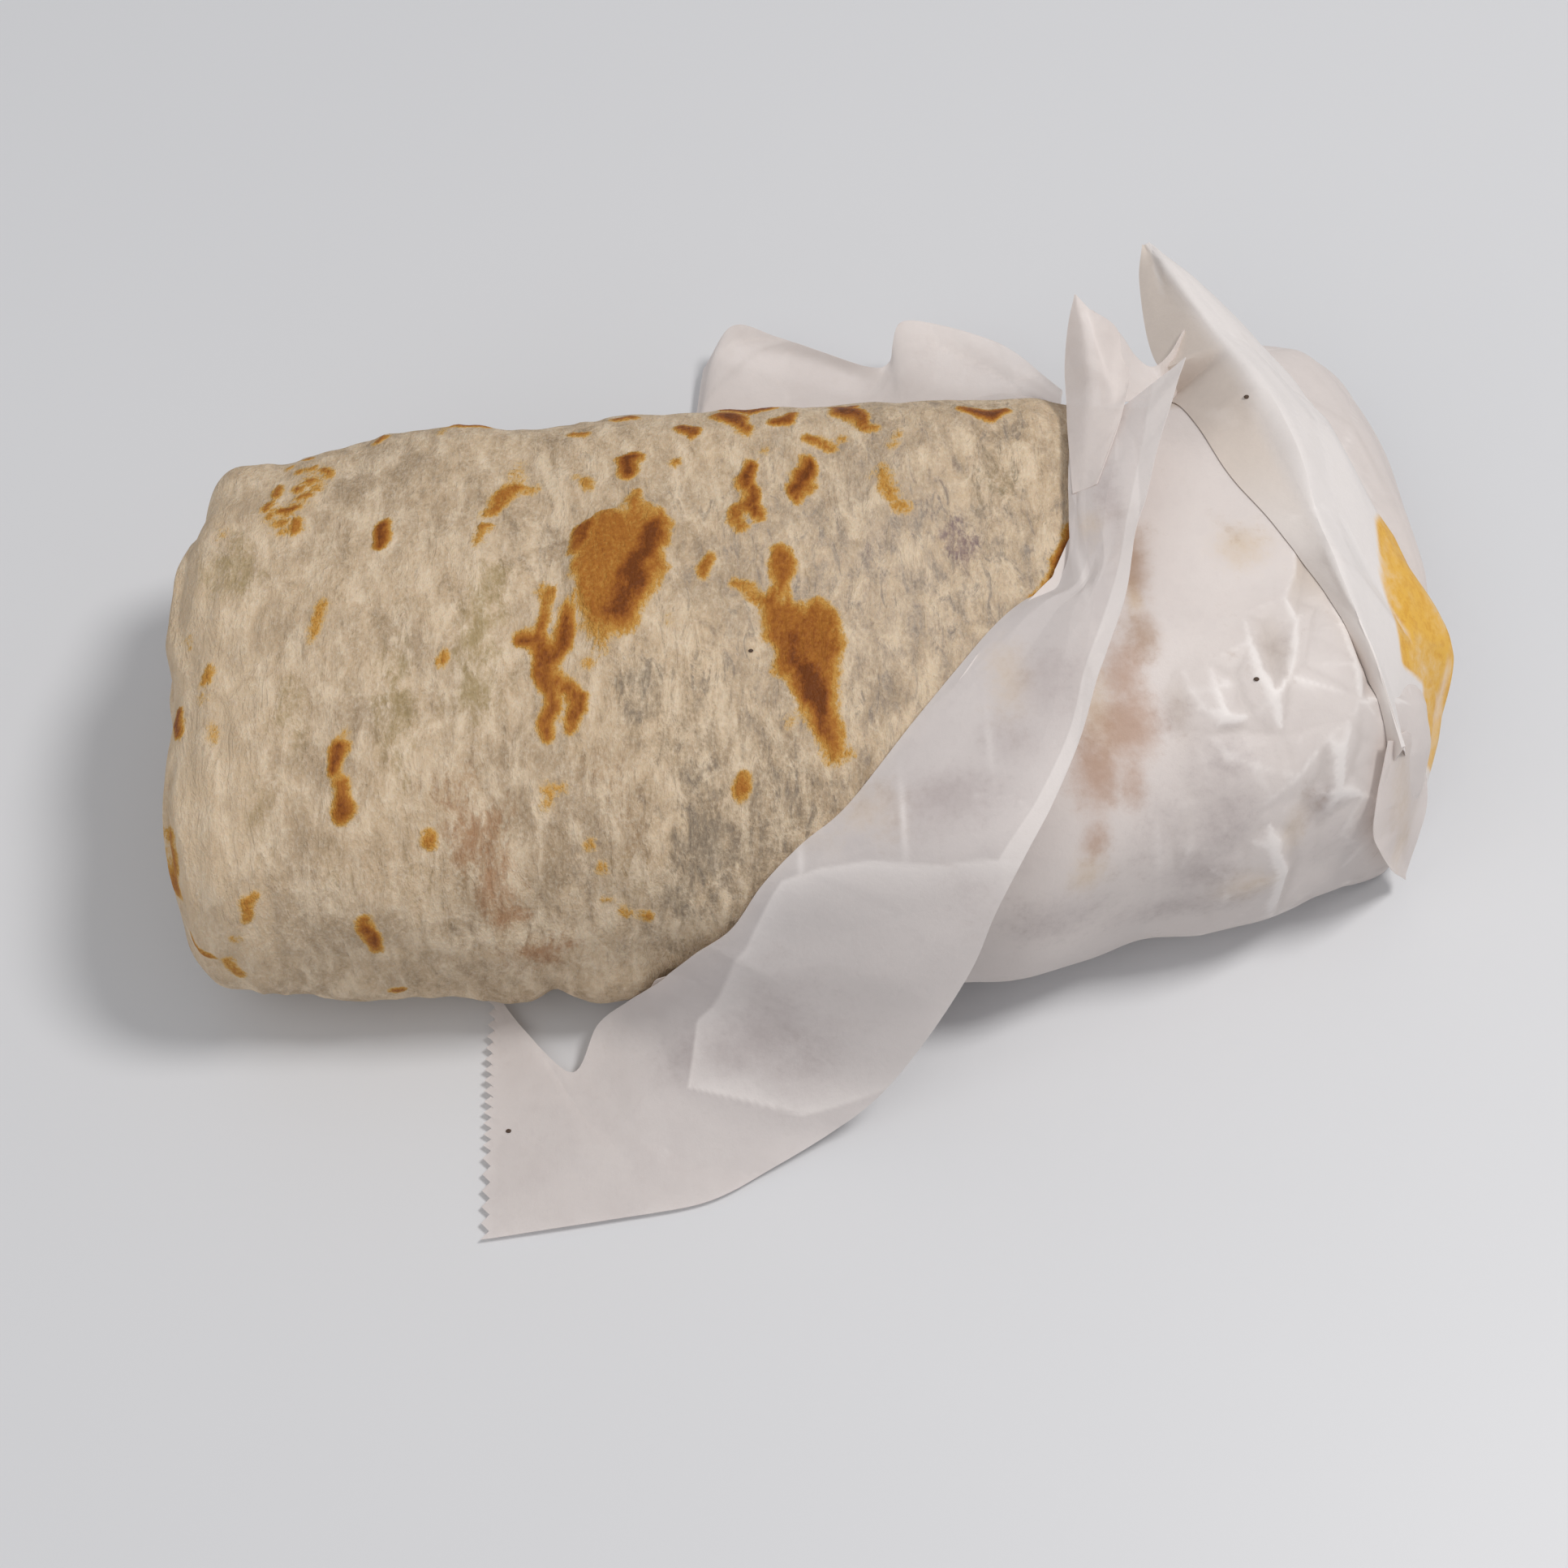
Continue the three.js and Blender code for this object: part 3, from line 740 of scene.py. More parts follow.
def whitened_ridges_and_shaded_valleys(height):
    """1 along the ridges of a relief, where the wax has cracked white and a highlight is painted, and -1 in
    its valleys, where shade is painted.
    """
    sharp = height - relax(height.copy(), times=3)
    return np.sign(sharp) * np.clip(np.abs(sharp) / 0.09 - 0.25, 0, 1)


def lay_paper(name, points):
    """A sheet through a grid of points in millimetres, and the column and row of each of its points."""
    columns, rows = points.shape[:2]
    bpy.ops.object.select_all(action="DESELECT")
    bpy.ops.mesh.primitive_grid_add(x_subdivisions=columns - 1, y_subdivisions=rows - 1, size=2)
    sheet = bpy.context.object
    sheet.name = name
    flat = mesh_points(sheet.data)
    column = np.rint((flat[:, 0] + 1) / 2 * (columns - 1)).astype(int)
    row = np.rint((flat[:, 1] + 1) / 2 * (rows - 1)).astype(int)
    move_points(sheet.data, points[column, row] * MM)
    return sheet, column, row


def finish_paper(sheet, paint, weld=False):
    """Gives a sheet its paint attributes, its real thickness, its shading and its place in the frame."""
    for name, values in paint.items():
        store(sheet.data, name, values)
    if weld:
        bpy.ops.object.mode_set(mode="EDIT")
        bpy.ops.mesh.select_all(action="SELECT")
        bpy.ops.mesh.remove_doubles(threshold=0.02 * MM)
        bpy.ops.object.mode_set(mode="OBJECT")
    thickness = sheet.modifiers.new("thickness", "SOLIDIFY")
    thickness.thickness = PAPER_THICKNESS * MM
    thickness.offset = 0
    bpy.ops.object.modifier_apply(modifier=thickness.name)
    bpy.ops.object.shade_smooth_by_angle(angle=math.radians(40))
    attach(sheet, "root")
    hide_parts("paper_wrap")


def patches(across, along, spots):
    """Soft spots of strength much: place across and along, reach across and along, much."""
    strength = np.zeros(len(across))
    for at_a, at_b, reach_a, reach_b, much in spots:
        apart = ((across - at_a) / reach_a) ** 2 + ((along - at_b) / reach_b) ** 2
        strength = np.maximum(strength, much * np.exp(-apart * 0.8))
    return strength


DULLER = (0.84, 0.825, 0.825)  # what is left of the white, in each colour, where the wax is thin
PAPER_STAINS = {
    "sauce": (0.58, 0.36, 0.245),
    "toasted": (0.52, 0.33, 0.21),
    "meat": (0.50, 0.425, 0.42),
    "butter": (0.84, 0.66, 0.46),
    "doubled": (0.90, 0.84, 0.81),
    "shade": (0.74, 0.635, 0.545),
    "print": (0.95, 0.545, 0.07),
}


def deli_paper(name, solid, stains=(), white=(0.97, 0.897, 0.86), dullness=0.8):
    """Waxed deli paper. solid is how much each face hides, and the stains show through it."""
    paper = Material(name, Roughness=0.48, Specular_IOR_Level=0.40)
    cloudy = paper.noise(0.011, detail=4, roughness=0.6)
    fibres = paper.noise(0.0017, detail=4, roughness=0.75)
    crease = paper.attribute("crease")
    ridge, valley = crease.at_least(0.0), (crease * -1).at_least(0.0)
    dull = (cloudy.between(0.35, 0.7) * 0.6 + fibres.between(0.4, 0.7) * 0.4) * dullness
    colour = paper.mix(dull, white, tuple(part * left for part, left in zip(white, DULLER)))
    alpha = solid + 0.04 + (cloudy - 0.5) * 0.30 + (fibres - 0.5) * 0.15 + ridge * 0.25
    for stain in stains:
        strength = paper.attribute(stain)
        # The doubled sheet, and the painted glints laid with it, hide more and are painted whiter.
        if stain == "doubled":
            alpha = alpha + strength * 0.3
            cover = strength * 0.7
        elif stain == "shade":
            cover = strength * 0.75
        elif stain == "print":
            alpha = alpha + strength * 0.3
            cover = strength * (1 - cloudy.between(0.45, 0.65) * fibres.between(0.3, 0.7) * 0.35)
        else:
            cover = strength * 1.3 - (cloudy - 0.5) * 0.9 - (fibres - 0.5) * 0.7 - 0.1
            cover = cover.between(0.0, 1.0) * 0.8
        colour = paper.mix(cover.at_most(1.0).at_least(0.0), colour, PAPER_STAINS[stain])
    if "print" in stains:
        ochre = paper.attribute("print") * fibres.between(0.55, 0.40) * cloudy.between(0.62, 0.42) * 0.6
        colour = paper.mix(ochre, colour, (0.80, 0.38, 0.03))
    # Ridges are painted whiter, partly cracked wax and partly painted highlight; valleys are painted darker,
    # as painted shade.
    colour = paper.mix(ridge * 0.5, colour, (0.98, 0.93, 0.90))
    colour = paper.mix(valley * 0.25, colour, (0.56, 0.49, 0.45))
    return paper, colour, alpha, cloudy * 0.5 + fibres * 0.35


def dress(sheet, name, solid, stains=(), **shade):
    """Puts deli paper of its own shade on a sheet."""
    paper, colour, alpha, surface = deli_paper(name, solid, stains, **shade)
    paper.finish(
        sheet,
        Base_Color=colour,
        Alpha=alpha.at_most(1.0).at_least(0.0),
        bump=surface,
        bump_depth=0.0002,
    )
    # Light also comes through the thin sheet from behind.
    glow = paper.node("ShaderNodeBsdfTranslucent", {}, {"Color": (0.93, 0.88, 0.85)})
    both = paper.node("ShaderNodeMixShader", {}, {"Fac": LIGHT_THROUGH})
    paper.tree.links.new(paper.shader.outputs[0], both.output.node.inputs[1])
    paper.tree.links.new(glow.output, both.output.node.inputs[2])
    paper.tree.links.new(both.output, paper.tree.nodes["Material Output"].inputs["Surface"])


LONG_POINTS = 185
turn = np.linspace(-math.pi / 2, math.pi * 1.5, 721)
way_round = around(*roll_section(0.0, turn))
# The points lie closer together on top and on the near side, where the paper is crumpled most.
round_the_paper = np.concatenate([
    np.linspace(way_round[0], -46, 41, endpoint=False),
    np.linspace(-46, 74, 171, endpoint=False),
    np.linspace(74, way_round[-1], 36, endpoint=False),
])
turn = np.interp(round_the_paper, way_round, turn)
samples = np.linspace(-1, 1, 500)
columns = []
for this_turn, s in zip(turn, round_the_paper):
    reached = roll_surface(samples, this_turn, right=SLEEVE_END)[:, 0]
    start = np.interp(paper_edge(s), reached, samples)
    columns.append(np.linspace(start, 1, LONG_POINTS))
along = np.array(columns)
turns = np.repeat(turn[:, None], LONG_POINTS, 1)
inside = roll_surface(along.ravel(), turns.ravel(), right=SLEEVE_END).reshape(*along.shape, 3)
outside = roll_surface(along.ravel(), turns.ravel(), grow=1.0, right=SLEEVE_END).reshape(*along.shape, 3)
outward = outside - inside
outward /= np.linalg.norm(outward, axis=2)[..., None]
paper_x = inside[..., 0]
paper_s = np.repeat(round_the_paper[:, None], LONG_POINTS, 1)

# The main creases, each a line of places along and round the roll, with their heights.
SLEEVE_CREASES = [
    [(60, 19, 0.2), (61, 24, 1.3), (62, 27, 1.4), (63, 31, 0.2)],
    [(57, 24, -0.4), (58, 30, -0.5)],
    [(64, 19, 0.4), (64.5, 24, 1.4), (65.5, 29, 1.3)],
    [(67, 31, -0.3), (70, 29.5, 0.0)],
    [(68, 22, 0.0), (68.5, 26, -0.3)],
    [(71, 10, 0.6), (70.5, 16, 1.2), (71, 21, 1.3), (73, 26.5, 1.6)],
    [(74, 12, -0.2), (74.5, 17, -1.0), (74.5, 22, -0.7)],
    [(79, 12, 1.0), (77.5, 18, 0.9), (75.8, 23.5, 0.7)],
    [(80.5, -6, 0.8), (80, 1, 1.1), (78, 7, 1.2)],
    [(82.2, -5, -1.2), (81.8, 1, -1.0), (80.5, 8, -0.8)],
    [(83, 10, -0.4), (81, 16, 0.0), (78.5, 22, 0.1)],
    [(85.5, -1, 1.0), (86, 6, 1.6), (86.3, 14, 1.8), (87, 24, 1.5), (87, 31, 1.0)],
    [(88, 2, -1.5), (89.5, 10, -2.0), (90, 18, -2.2), (90, 27, -1.5)],
    [(85, 34, 0.9), (83.3, 40, 1.2), (83.5, 47, 1.1)],
    [(87, 38, -0.2), (86, 44, -0.3)],
    [(81, 36.5, 1.0), (77, 41, 0.8), (74, 45, 0.2)],
    [(81.3, 42, -0.4), (79, 45, -0.6)],
    [(73, 48, 0.3), (74, 53, 1.4), (76, 60.5, 1.8)],
    [(69, 50, 0.1), (70, 57, 0.2)],
    [(77.5, 52, -0.6), (78.5, 60, -0.5)],
    [(88, 49, 1.2), (91, 50, 1.5), (93, 55, 1.0)],
    [(86, 57, 0.6), (90, 63, 0.8)],
    [(82, 52, -0.7), (82, 60, -0.3)],
    [(54, 42, 0.7), (55, 52, 0.9), (56, 62, 0.3)],
    [(57, 47, -0.3), (58.5, 56, -0.3)],
    [(65, 35, 0.9), (61, 43, 0.5), (59.5, 50, 0.6)],
]
lift = CLOTHED + swelling(inside.reshape(-1, 3)).reshape(paper_x.shape)
# It is crumpled most on its near side, and is smoother on top and beside the roll's open part.
gathered = 0.25 + 0.55 * smooth(paper_s, 2, 24) * smooth(paper_x, 56, 66)
crumple = folded(paper_x, paper_s, facet=10, depth=0.7, seed=31, creases=SLEEVE_CREASES)
crumple += folded(paper_x, paper_s * 0.7, facet=4.5, depth=0.28, seed=32)
crumple *= gathered
lift += crumple
lift = np.maximum(lift, 0.1) - hollow(paper_x, paper_s)
points = settle(inside + outward * lift[..., None])
points[..., 2] = np.maximum(points[..., 2], SLEEVE_FLOOR)
points[-1] = points[0]  # the last row meets the first underneath
sleeve, column, row = lay_paper("paper_sleeve", points)
at_x, at_s = paper_x[column, row], paper_s[column, row]
# It is shaded behind the roll's shoulder, behind the pleats and in its deepest folds.
behind_shoulder = smooth(at_x - np.interp(at_s, *zip(*SHOULDER)), 0, 1.3) * (1 - smooth(at_s, 0, 14))
behind_pleats = smooth(-at_s, 37, 40) * smooth(at_x, 57, 61)
deep_folds = patches(at_x, at_s, [(89.5, 13, 3, 11, 0.8), (74.5, 17, 2.2, 5, 0.6), (59, 27, 1.4, 4, 0.5)])
finish_paper(
    sleeve,
    {
        "crease": whitened_ridges_and_shaded_valleys(crumple)[column, row],
        "shade": np.maximum(behind_shoulder, np.maximum(behind_pleats, deep_folds)),
        "toasted": patches(at_x, at_s, [(54.5, -1, 3, 9, 0.75), (54.5, 13, 3, 5, 0.7)]),
        "sauce": patches(at_x, at_s, [
            (51, 20, 3.5, 6, 0.75), (51, 28, 5, 7, 0.8), (46, 34, 4, 7, 0.75), (51, 37, 2.5, 5, 0.6),
            (45, 44, 2.5, 4, 0.6),
        ]),
        "meat": patches(at_x, at_s, [
            (65, 36, 8, 9, 0.44), (66, 45, 8, 10, 0.50), (62, 55, 8, 9, 0.42), (56, 45, 8, 10, 0.36),
            (81, 49, 4, 7, 0.40), (58, 28, 4, 5, 0.40), (40, 58, 9, 7, 0.42), (75, 17, 4, 6, 0.32),
            (60, 64, 16, 5, 0.38), (84, 58, 6, 6, 0.32),
        ]),
        # The patch at 90, 16 is painted shade in the hollow beside the wing; the others are butter soaked
        # into the paper.
        "butter": patches(at_x, at_s, [
            (54, 6, 1.5, 4, 0.7), (72, -3, 5, 4, 0.5), (78, 52, 3, 6, 0.45), (46, 10, 3, 6, 0.45),
            (47, 24, 3, 8, 0.6), (90, 16, 3, 9, 0.5), (44, 50, 3, 5, 0.5), (70, 61, 6, 4, 0.45),
        ]),
    },
    weld=True,
)
SLEEVE_STAINS = ("butter", "meat", "toasted", "sauce", "shade")
dress(sleeve, "paper_clinging_to_the_roll", solid=0.74, stains=SLEEVE_STAINS)


# ---------------------------------------------------------------------------------------------
# The cuff. The paper's open end is folded back over the sleeve along a slanting line. The fold
# stands up at the far side, falls over the near side and ends flat on the table in a torn edge.


def stretched(rails, spacing, ease):
    """A grid of points about spacing apart, stretched from rail to rail and softened ease times,
    with how far across and along the sheet each one lies."""
    longest = max(np.linalg.norm(np.diff(smooth_line(rail, 99), axis=0), axis=1).sum() for rail in rails)
    rows = int(longest / spacing)
    lines = np.stack([smooth_line(rail, rows) for rail in rails])
    gaps = np.linalg.norm(np.diff(lines, axis=0), axis=2).mean(1)
    place = np.concatenate([[0], np.cumsum(gaps)])
    at = np.linspace(0, place[-1], int(place[-1] / spacing) + 1)
    before = np.clip(np.searchsorted(place, at, "right") - 1, 0, len(rails) - 2)
    share = ((at - place[before]) / gaps[before])[:, None, None]
    points = relax(lines[before] * (1 - share) + lines[before + 1] * share, ease, (0,))
    across, lengthways = np.meshgrid(at, np.linspace(0, longest, rows), indexing="ij")
    return points, across, lengthways


def between_rows(points, places):
    """The grid of points at other places across, 0 to 1."""
    at = places * (len(points) - 1)
    before = np.minimum(at.astype(int), len(points) - 2)
    share = (at - before)[:, None, None]
    return points[before] * (1 - share) + points[before + 1] * share


def raised(points, height):
    """Moves a grid of points along its own normals."""
    normal = np.cross(np.gradient(points, axis=0), np.gradient(points, axis=1))
    normal /= np.maximum(np.linalg.norm(normal, axis=2), 1e-9)[..., None]
    return points + normal * height[..., None]


def inside_distance(px, py, outline):
    """How deep inside an outline each point lies, and below 0 outside it."""
    deepest = np.full(len(px), 99.0)
    inside = np.zeros(len(px), bool)
    for (x0, y0), (x1, y1) in zip(outline, outline[1:] + outline[:1]):
        dx, dy = x1 - x0, y1 - y0
        share = np.clip(((px - x0) * dx + (py - y0) * dy) / (dx * dx + dy * dy), 0, 1)
        deepest = np.minimum(deepest, np.hypot(px - x0 - share * dx, py - y0 - share * dy))
        if y1 != y0:
            inside ^= ((y0 > py) != (y1 > py)) & (px < x0 + (py - y0) * dx / dy)
    return np.where(inside, deepest, -deepest)


# Rails run from the far side to the torn edge: the fold, the panel's middle, the ridge, the free edge.
CUFF_FOLD = [(50, 36, 51), (48.5, 25, 56), (47, 12, 57.5), (45.5, 2, 58), (42, -2, 57.5), (35, -7, 58.5),
             (26, -17, 57.5), (18, -26, 55.5), (8, -36, 50.5), (1, -40, 47), (-5, -44, 42.5),
             (-10, -47.5, 35), (-16, -48.5, 29), (-22, -48.5, 20), (-27, -46.5, 10), (-32, -48, 5),
             (-36.5, -55, 2.6), (-44, -47, 2.4), (-49, -39, 1.4)]
CUFF_PANEL = [(53, 31, 56), (50, 22, 58), (48.5, 12, 59), (48, 2, 59.5), (46, -4, 60), (40, -7.5, 60),
              (33, -17, 59), (26, -26, 57.5), (17, -37, 54), (10, -42, 49.5), (4, -46, 43), (0, -49.5, 33),
              (-6, -51.3, 24), (-13, -51.6, 15), (-19, -55.4, 8), (-24, -59.5, 4.5), (-31, -65, 2.2),
              (-40, -59, 2.2), (-50, -51, 1.2)]
CUFF_RIDGE = [(56, 29, 58.5), (55, 19, 61), (53, 10, 61.5), (51.5, 0, 61.5), (48.5, -6, 61.5),
              (46, -12, 61.5), (43, -19, 61), (40, -29, 60), (34, -39, 58), (27, -46, 54), (21, -51.7, 45),
              (17, -56, 35), (10, -58.7, 21), (1, -61, 10), (-6, -66.8, 4), (-14, -71, 2), (-24, -73, 1.6),
              (-37, -71, 1.5), (-50.5, -67, 0.9)]
CUFF_FREE = [(67, 34, 66), (62, 22, 65), (58, 10, 64), (55, 2, 64), (52.5, -8, 63.5), (49.5, -16, 63),
             (47, -22, 62.5), (43.5, -31, 61), (38.5, -41, 58.5), (34, -47.5, 54.5), (29.5, -53, 47),
             (26, -57, 36), (19.5, -61.5, 22), (12.5, -65, 10), (4.5, -68.5, 4), (-6, -73.5, 1.7),
             (-16, -78, 1.3), (-31, -80, 1.2), (-51, -82, 0.7)]
CUFF_CREASES = [
    [(12, 22, 0.0), (11, 34, 0.5), (9, 48, 0.1)],
    [(16, 60, 0.9), (16.4, 66, 0.2)],
    [(9, 74, 0.8), (9.5, 80, 0.1)],
]
# Inside this outline, seen from above, the sheet lies double and is whiter.
DOUBLED = [(-2, -44), (4, -43.5), (11, -44), (20, -46.5), (36, -48.5), (33, -58), (20, -64), (0, -66),
           (-18, -60), (-16, -52), (-8, -49)]
CUFF_WIDTH = 26
TEETH, TOOTH_DEPTH, TOOTH_POINTS = 20, 1.3, 8
cuff_rails = [CUFF_FOLD, CUFF_PANEL, CUFF_RIDGE, CUFF_FREE]
points, across, lengthways = stretched(cuff_rails, spacing=0.8, ease=1)
across = across / across.max()
tooth_places = np.linspace(0, 1, TEETH * TOOTH_POINTS + 1)
points = between_rows(points, tooth_places)
across = between_rows(across[..., None], tooth_places)[..., 0]
lengthways = lengthways[:1].repeat(len(tooth_places), 0)
flatness = smooth(lengthways, 20, 120)
crumple = folded(across * CUFF_WIDTH, lengthways * 0.5, facet=8, depth=0.8, seed=41, creases=CUFF_CREASES)
crumple *= 1 - 0.6 * flatness
crumple += folded(across * CUFF_WIDTH, lengthways, facet=6, depth=0.2, seed=42)
points = raised(points, crumple)
floor = 0.5 + 0.4 * smooth(points[..., 0], -50, -30)  # the torn edge lies lowest
points[..., 2] = np.maximum(points[..., 2], floor)
zigzag = np.abs((tooth_places * TEETH) % 1 - 0.5) * 2
points[:, -1, 0] -= TOOTH_DEPTH * (zigzag - 0.5)
cuff, column, row = lay_paper("paper_cuff", points)
cuff_x, cuff_y = points[column, row, 0], points[column, row, 1]
within = inside_distance(cuff_x, cuff_y, DOUBLED)
doubled = smooth(within, -0.3, 0.3) * (0.35 + 0.65 * np.exp(-np.maximum(within, 0) / 2.5))
hem = 0.8 * smooth(across, 0.86, 0.88) * (1 - smooth(lengthways, 105, 125))
# Painted glints: thin bright streaks along a few sharp creases, where they catch the light.
painted_glints = patches(cuff_x, cuff_y, [
    (16.5, -39.5, 0.5, 5, 1.0), (1, -42.5, 0.5, 2.5, 0.8), (30, -30, 0.5, 4, 0.6), (47, -2, 0.5, 6, 0.6),
])
doubled = np.maximum(doubled, np.maximum(hem[column, row], painted_glints))
finish_paper(
    cuff,
    {
        "crease": whitened_ridges_and_shaded_valleys(crumple)[column, row],
        "doubled": doubled,
        # The patch at -9, -56 is painted shade: the shade under the hanging tail, seen through the sheet.
        # The others are the filling showing through.
        "meat": patches(cuff_x, cuff_y, [
            (40, -22, 6, 9, 0.50), (23, -38, 11, 6, 0.50), (34, -30, 7, 6, 0.42), (0, -60, 14, 6, 0.45),
            (52, 12, 2.5, 10, 0.42), (24, -50, 8, 3, 0.35), (-9, -56, 13, 5, 0.62),
        ]),
        "butter": patches(cuff_x, cuff_y, [
            (34, -20, 4, 8, 0.45), (49, 6, 2.5, 5, 0.4), (12, -38, 6, 5, 0.4),
        ]),
    },
)
CUFF_STAINS = ("butter", "meat", "doubled")
dress(cuff, "paper_folded_back", solid=0.66, stains=CUFF_STAINS, white=(0.86, 0.805, 0.785))


# ---------------------------------------------------------------------------------------------
# The pleats. Where the fold begins at the far side, the paper stands up in two pointed pleats
# and goes on behind them as a low wall.


def loose_sheet(name, rails, spacing, ease, facet, depth, seed, floor=0.3, butter=()):
    """A sheet stretched between rails and crumpled, with its lowest points at least floor high."""
    points, across, lengthways = stretched(rails, spacing, ease)
    crumple = folded(across, lengthways, facet, depth, seed)
    points = raised(points, crumple)
    points[..., 2] = np.maximum(points[..., 2], floor)
    sheet, column, row = lay_paper(name, points)
    paint = {"crease": whitened_ridges_and_shaded_valleys(crumple)[column, row]}
    if butter:
        paint["butter"] = patches(points[column, row, 0], points[column, row, 1], butter)
    finish_paper(sheet, paint)
    return sheet


PLEAT_LEFT = [(51, 49, 64.5), (50, 46, 59.5), (49.4, 42, 55), (49.2, 36, 53.5), (48.2, 26, 56.6),
              (47.4, 14, 58.6)]
PLEAT_CREASE = [(51.3, 49, 64.5), (52, 45, 61.5), (52.3, 40, 59.5), (52.4, 34, 58.2), (50.8, 26, 58.8),
                (48.8, 14, 59.6)]
PLEAT_RIDGE = [(53.5, 47.5, 62.5), (54.2, 43, 61), (55.2, 37, 60.2), (55.6, 31, 60.2), (53.8, 24, 60.6),
               (50, 14, 60.4)]
PLEAT_RIGHT = [(54.2, 47.5, 62), (58.5, 48, 56.5), (58.7, 42, 57), (58.7, 35, 60), (56, 26, 61.4),
               (51, 14, 61)]
pleat_rails = [PLEAT_LEFT, PLEAT_CREASE, PLEAT_RIDGE, PLEAT_RIGHT]
pleats = loose_sheet("paper_pleats", pleat_rails, spacing=0.5, ease=1, facet=5, depth=0.15, seed=51)
dress(pleats, "paper_of_the_pleats", solid=0.62)

WALL_TOP = [(54.5, 50, 57), (59, 49, 54.5), (62, 47, 50.5), (65, 46, 48.5), (68, 47.5, 50), (71, 52, 50.5)]
WALL_FOOT = [(55, 35, 53), (58, 36, 52.5), (61, 38, 50), (65, 40, 47), (69, 42, 44), (73, 44, 41)]
wall_rails = [WALL_TOP, WALL_FOOT]
wall = loose_sheet("paper_wall_behind", wall_rails, spacing=0.7, ease=2, facet=6, depth=0.25, seed=52)
dress(wall, "paper_of_the_wall", solid=0.5)


# ---------------------------------------------------------------------------------------------
# The wing. The sheet's gathered closing fold stands up along the right end, from a long tip at
# the far side down to the low corner, and carries a plain field of yellow print.

HIGH_ABOVE, LAID_REACH = 200, 12


def laid_on(piece, line, gap):
    """A line's places laid on the top of a piece, except those far above it or beside it."""
    tree = BVHTree.FromObject(piece, bpy.context.evaluated_depsgraph_get())
    laid = []
    for x, y, z in line:
        below = tree.ray_cast(Vector((x, y, HIGH_ABOVE)) * MM, Vector((0, 0, -1)))[0]
        laid.append((x, y, below.z / MM + gap if below and below.z / MM > z - LAID_REACH else z))
    return laid


WING_FOOT = [(67.5, 76, 44), (66, 67, 44), (66, 50, 46), (69.3, 33, 54), (72.2, 19.5, 58), (78.5, 7.5, 57),
             (85.2, -5, 54), (90, -16, 50), (94.5, -27, 43)]
WING_EDGE = [(68, 76, 44), (70, 66, 48), (75, 48, 53.5), (78, 36, 57), (80, 22, 58.5), (84, 6, 59.5),
             (87, -5, 58), (91, -16, 54), (95.3, -27.2, 45)]
WING_HEM = [(68.4, 76, 44.2), (70.6, 66, 48.4), (75.6, 48, 54), (79.4, 35, 58.5), (83, 20, 61.5),
            (85, 6, 60.5), (87.5, -5, 58.4), (91.5, -16, 54.2), (95.8, -27.2, 45)]
WING_CREASE = [(68.8, 76, 44), (73, 66, 47), (82, 50, 49), (88, 38, 50), (93, 26, 49.5), (97, 12, 46),
               (99, -2, 43), (100, -13, 38), (100, -22, 31)]
WING_OUTER = [(69, 76, 43.6), (75, 69, 42.3), (86, 54, 41.5), (93, 42, 41), (98, 27, 39), (104, 13, 36),
              (111, 2, 29), (110, -9, 18.5), (104.5, -23, 7.5)]
WING_BACK = [(68.4, 75, 43), (73, 67, 40.5), (83, 54, 37), (90, 42, 35), (95, 27, 32), (100, 12, 28),
             (105, 0, 20), (105, -10, 11), (103, -25, 4)]
WING_FLOOR = 0.4
# The foot lies on the sleeve all the way down.
wing_foot = laid_on(sleeve, smooth_line(WING_FOOT, 65), gap=0.2)
wing_rails = [wing_foot, WING_EDGE, WING_HEM, WING_CREASE, WING_OUTER, WING_BACK]
points, across, lengthways = stretched(wing_rails, spacing=0.75, ease=1)
crumple = folded(across * 1.8, lengthways, facet=18, depth=0.9, seed=61)
crumple += folded(across, lengthways * 0.6, facet=5, depth=0.25, seed=62)
crumple *= smooth(across, 0, 6)
points = raised(points, crumple)
points[..., 2] = np.maximum(points[..., 2], WING_FLOOR)
wing, column, row = lay_paper("paper_wing", points)
wing_x, wing_y = points[column, row, 0], points[column, row, 1]
YELLOW = [(101, 21.5), (98, 15.5), (97, 4), (98, -4), (98.5, -10.5), (104, -8.5), (104, -11),
          (105.5, -15), (109, -14), (112, -6), (113, 2), (107, 11)]
ink = smooth(inside_distance(wing_x, wing_y, YELLOW), -0.35, 0.45)
ink *= across[column, row] < across.max() * 0.86  # none on the hidden back
inner_lip = (1 - smooth(across, 5, 8)) * (1 - 0.65 * smooth(lengthways, 62, 84))
finish_paper(wing, {"crease": whitened_ridges_and_shaded_valleys(crumple)[column, row], "print": ink, "shade": inner_lip[column, row]})
# The wing's paper is painted whiter and less dull than the rest, as painted light where it faces the window.
WING_LIT_WHITE = (0.99, 0.935, 0.905)
dress(wing, "paper_of_the_wing", solid=0.92, stains=("shade", "print"), white=WING_LIT_WHITE, dullness=0.3)

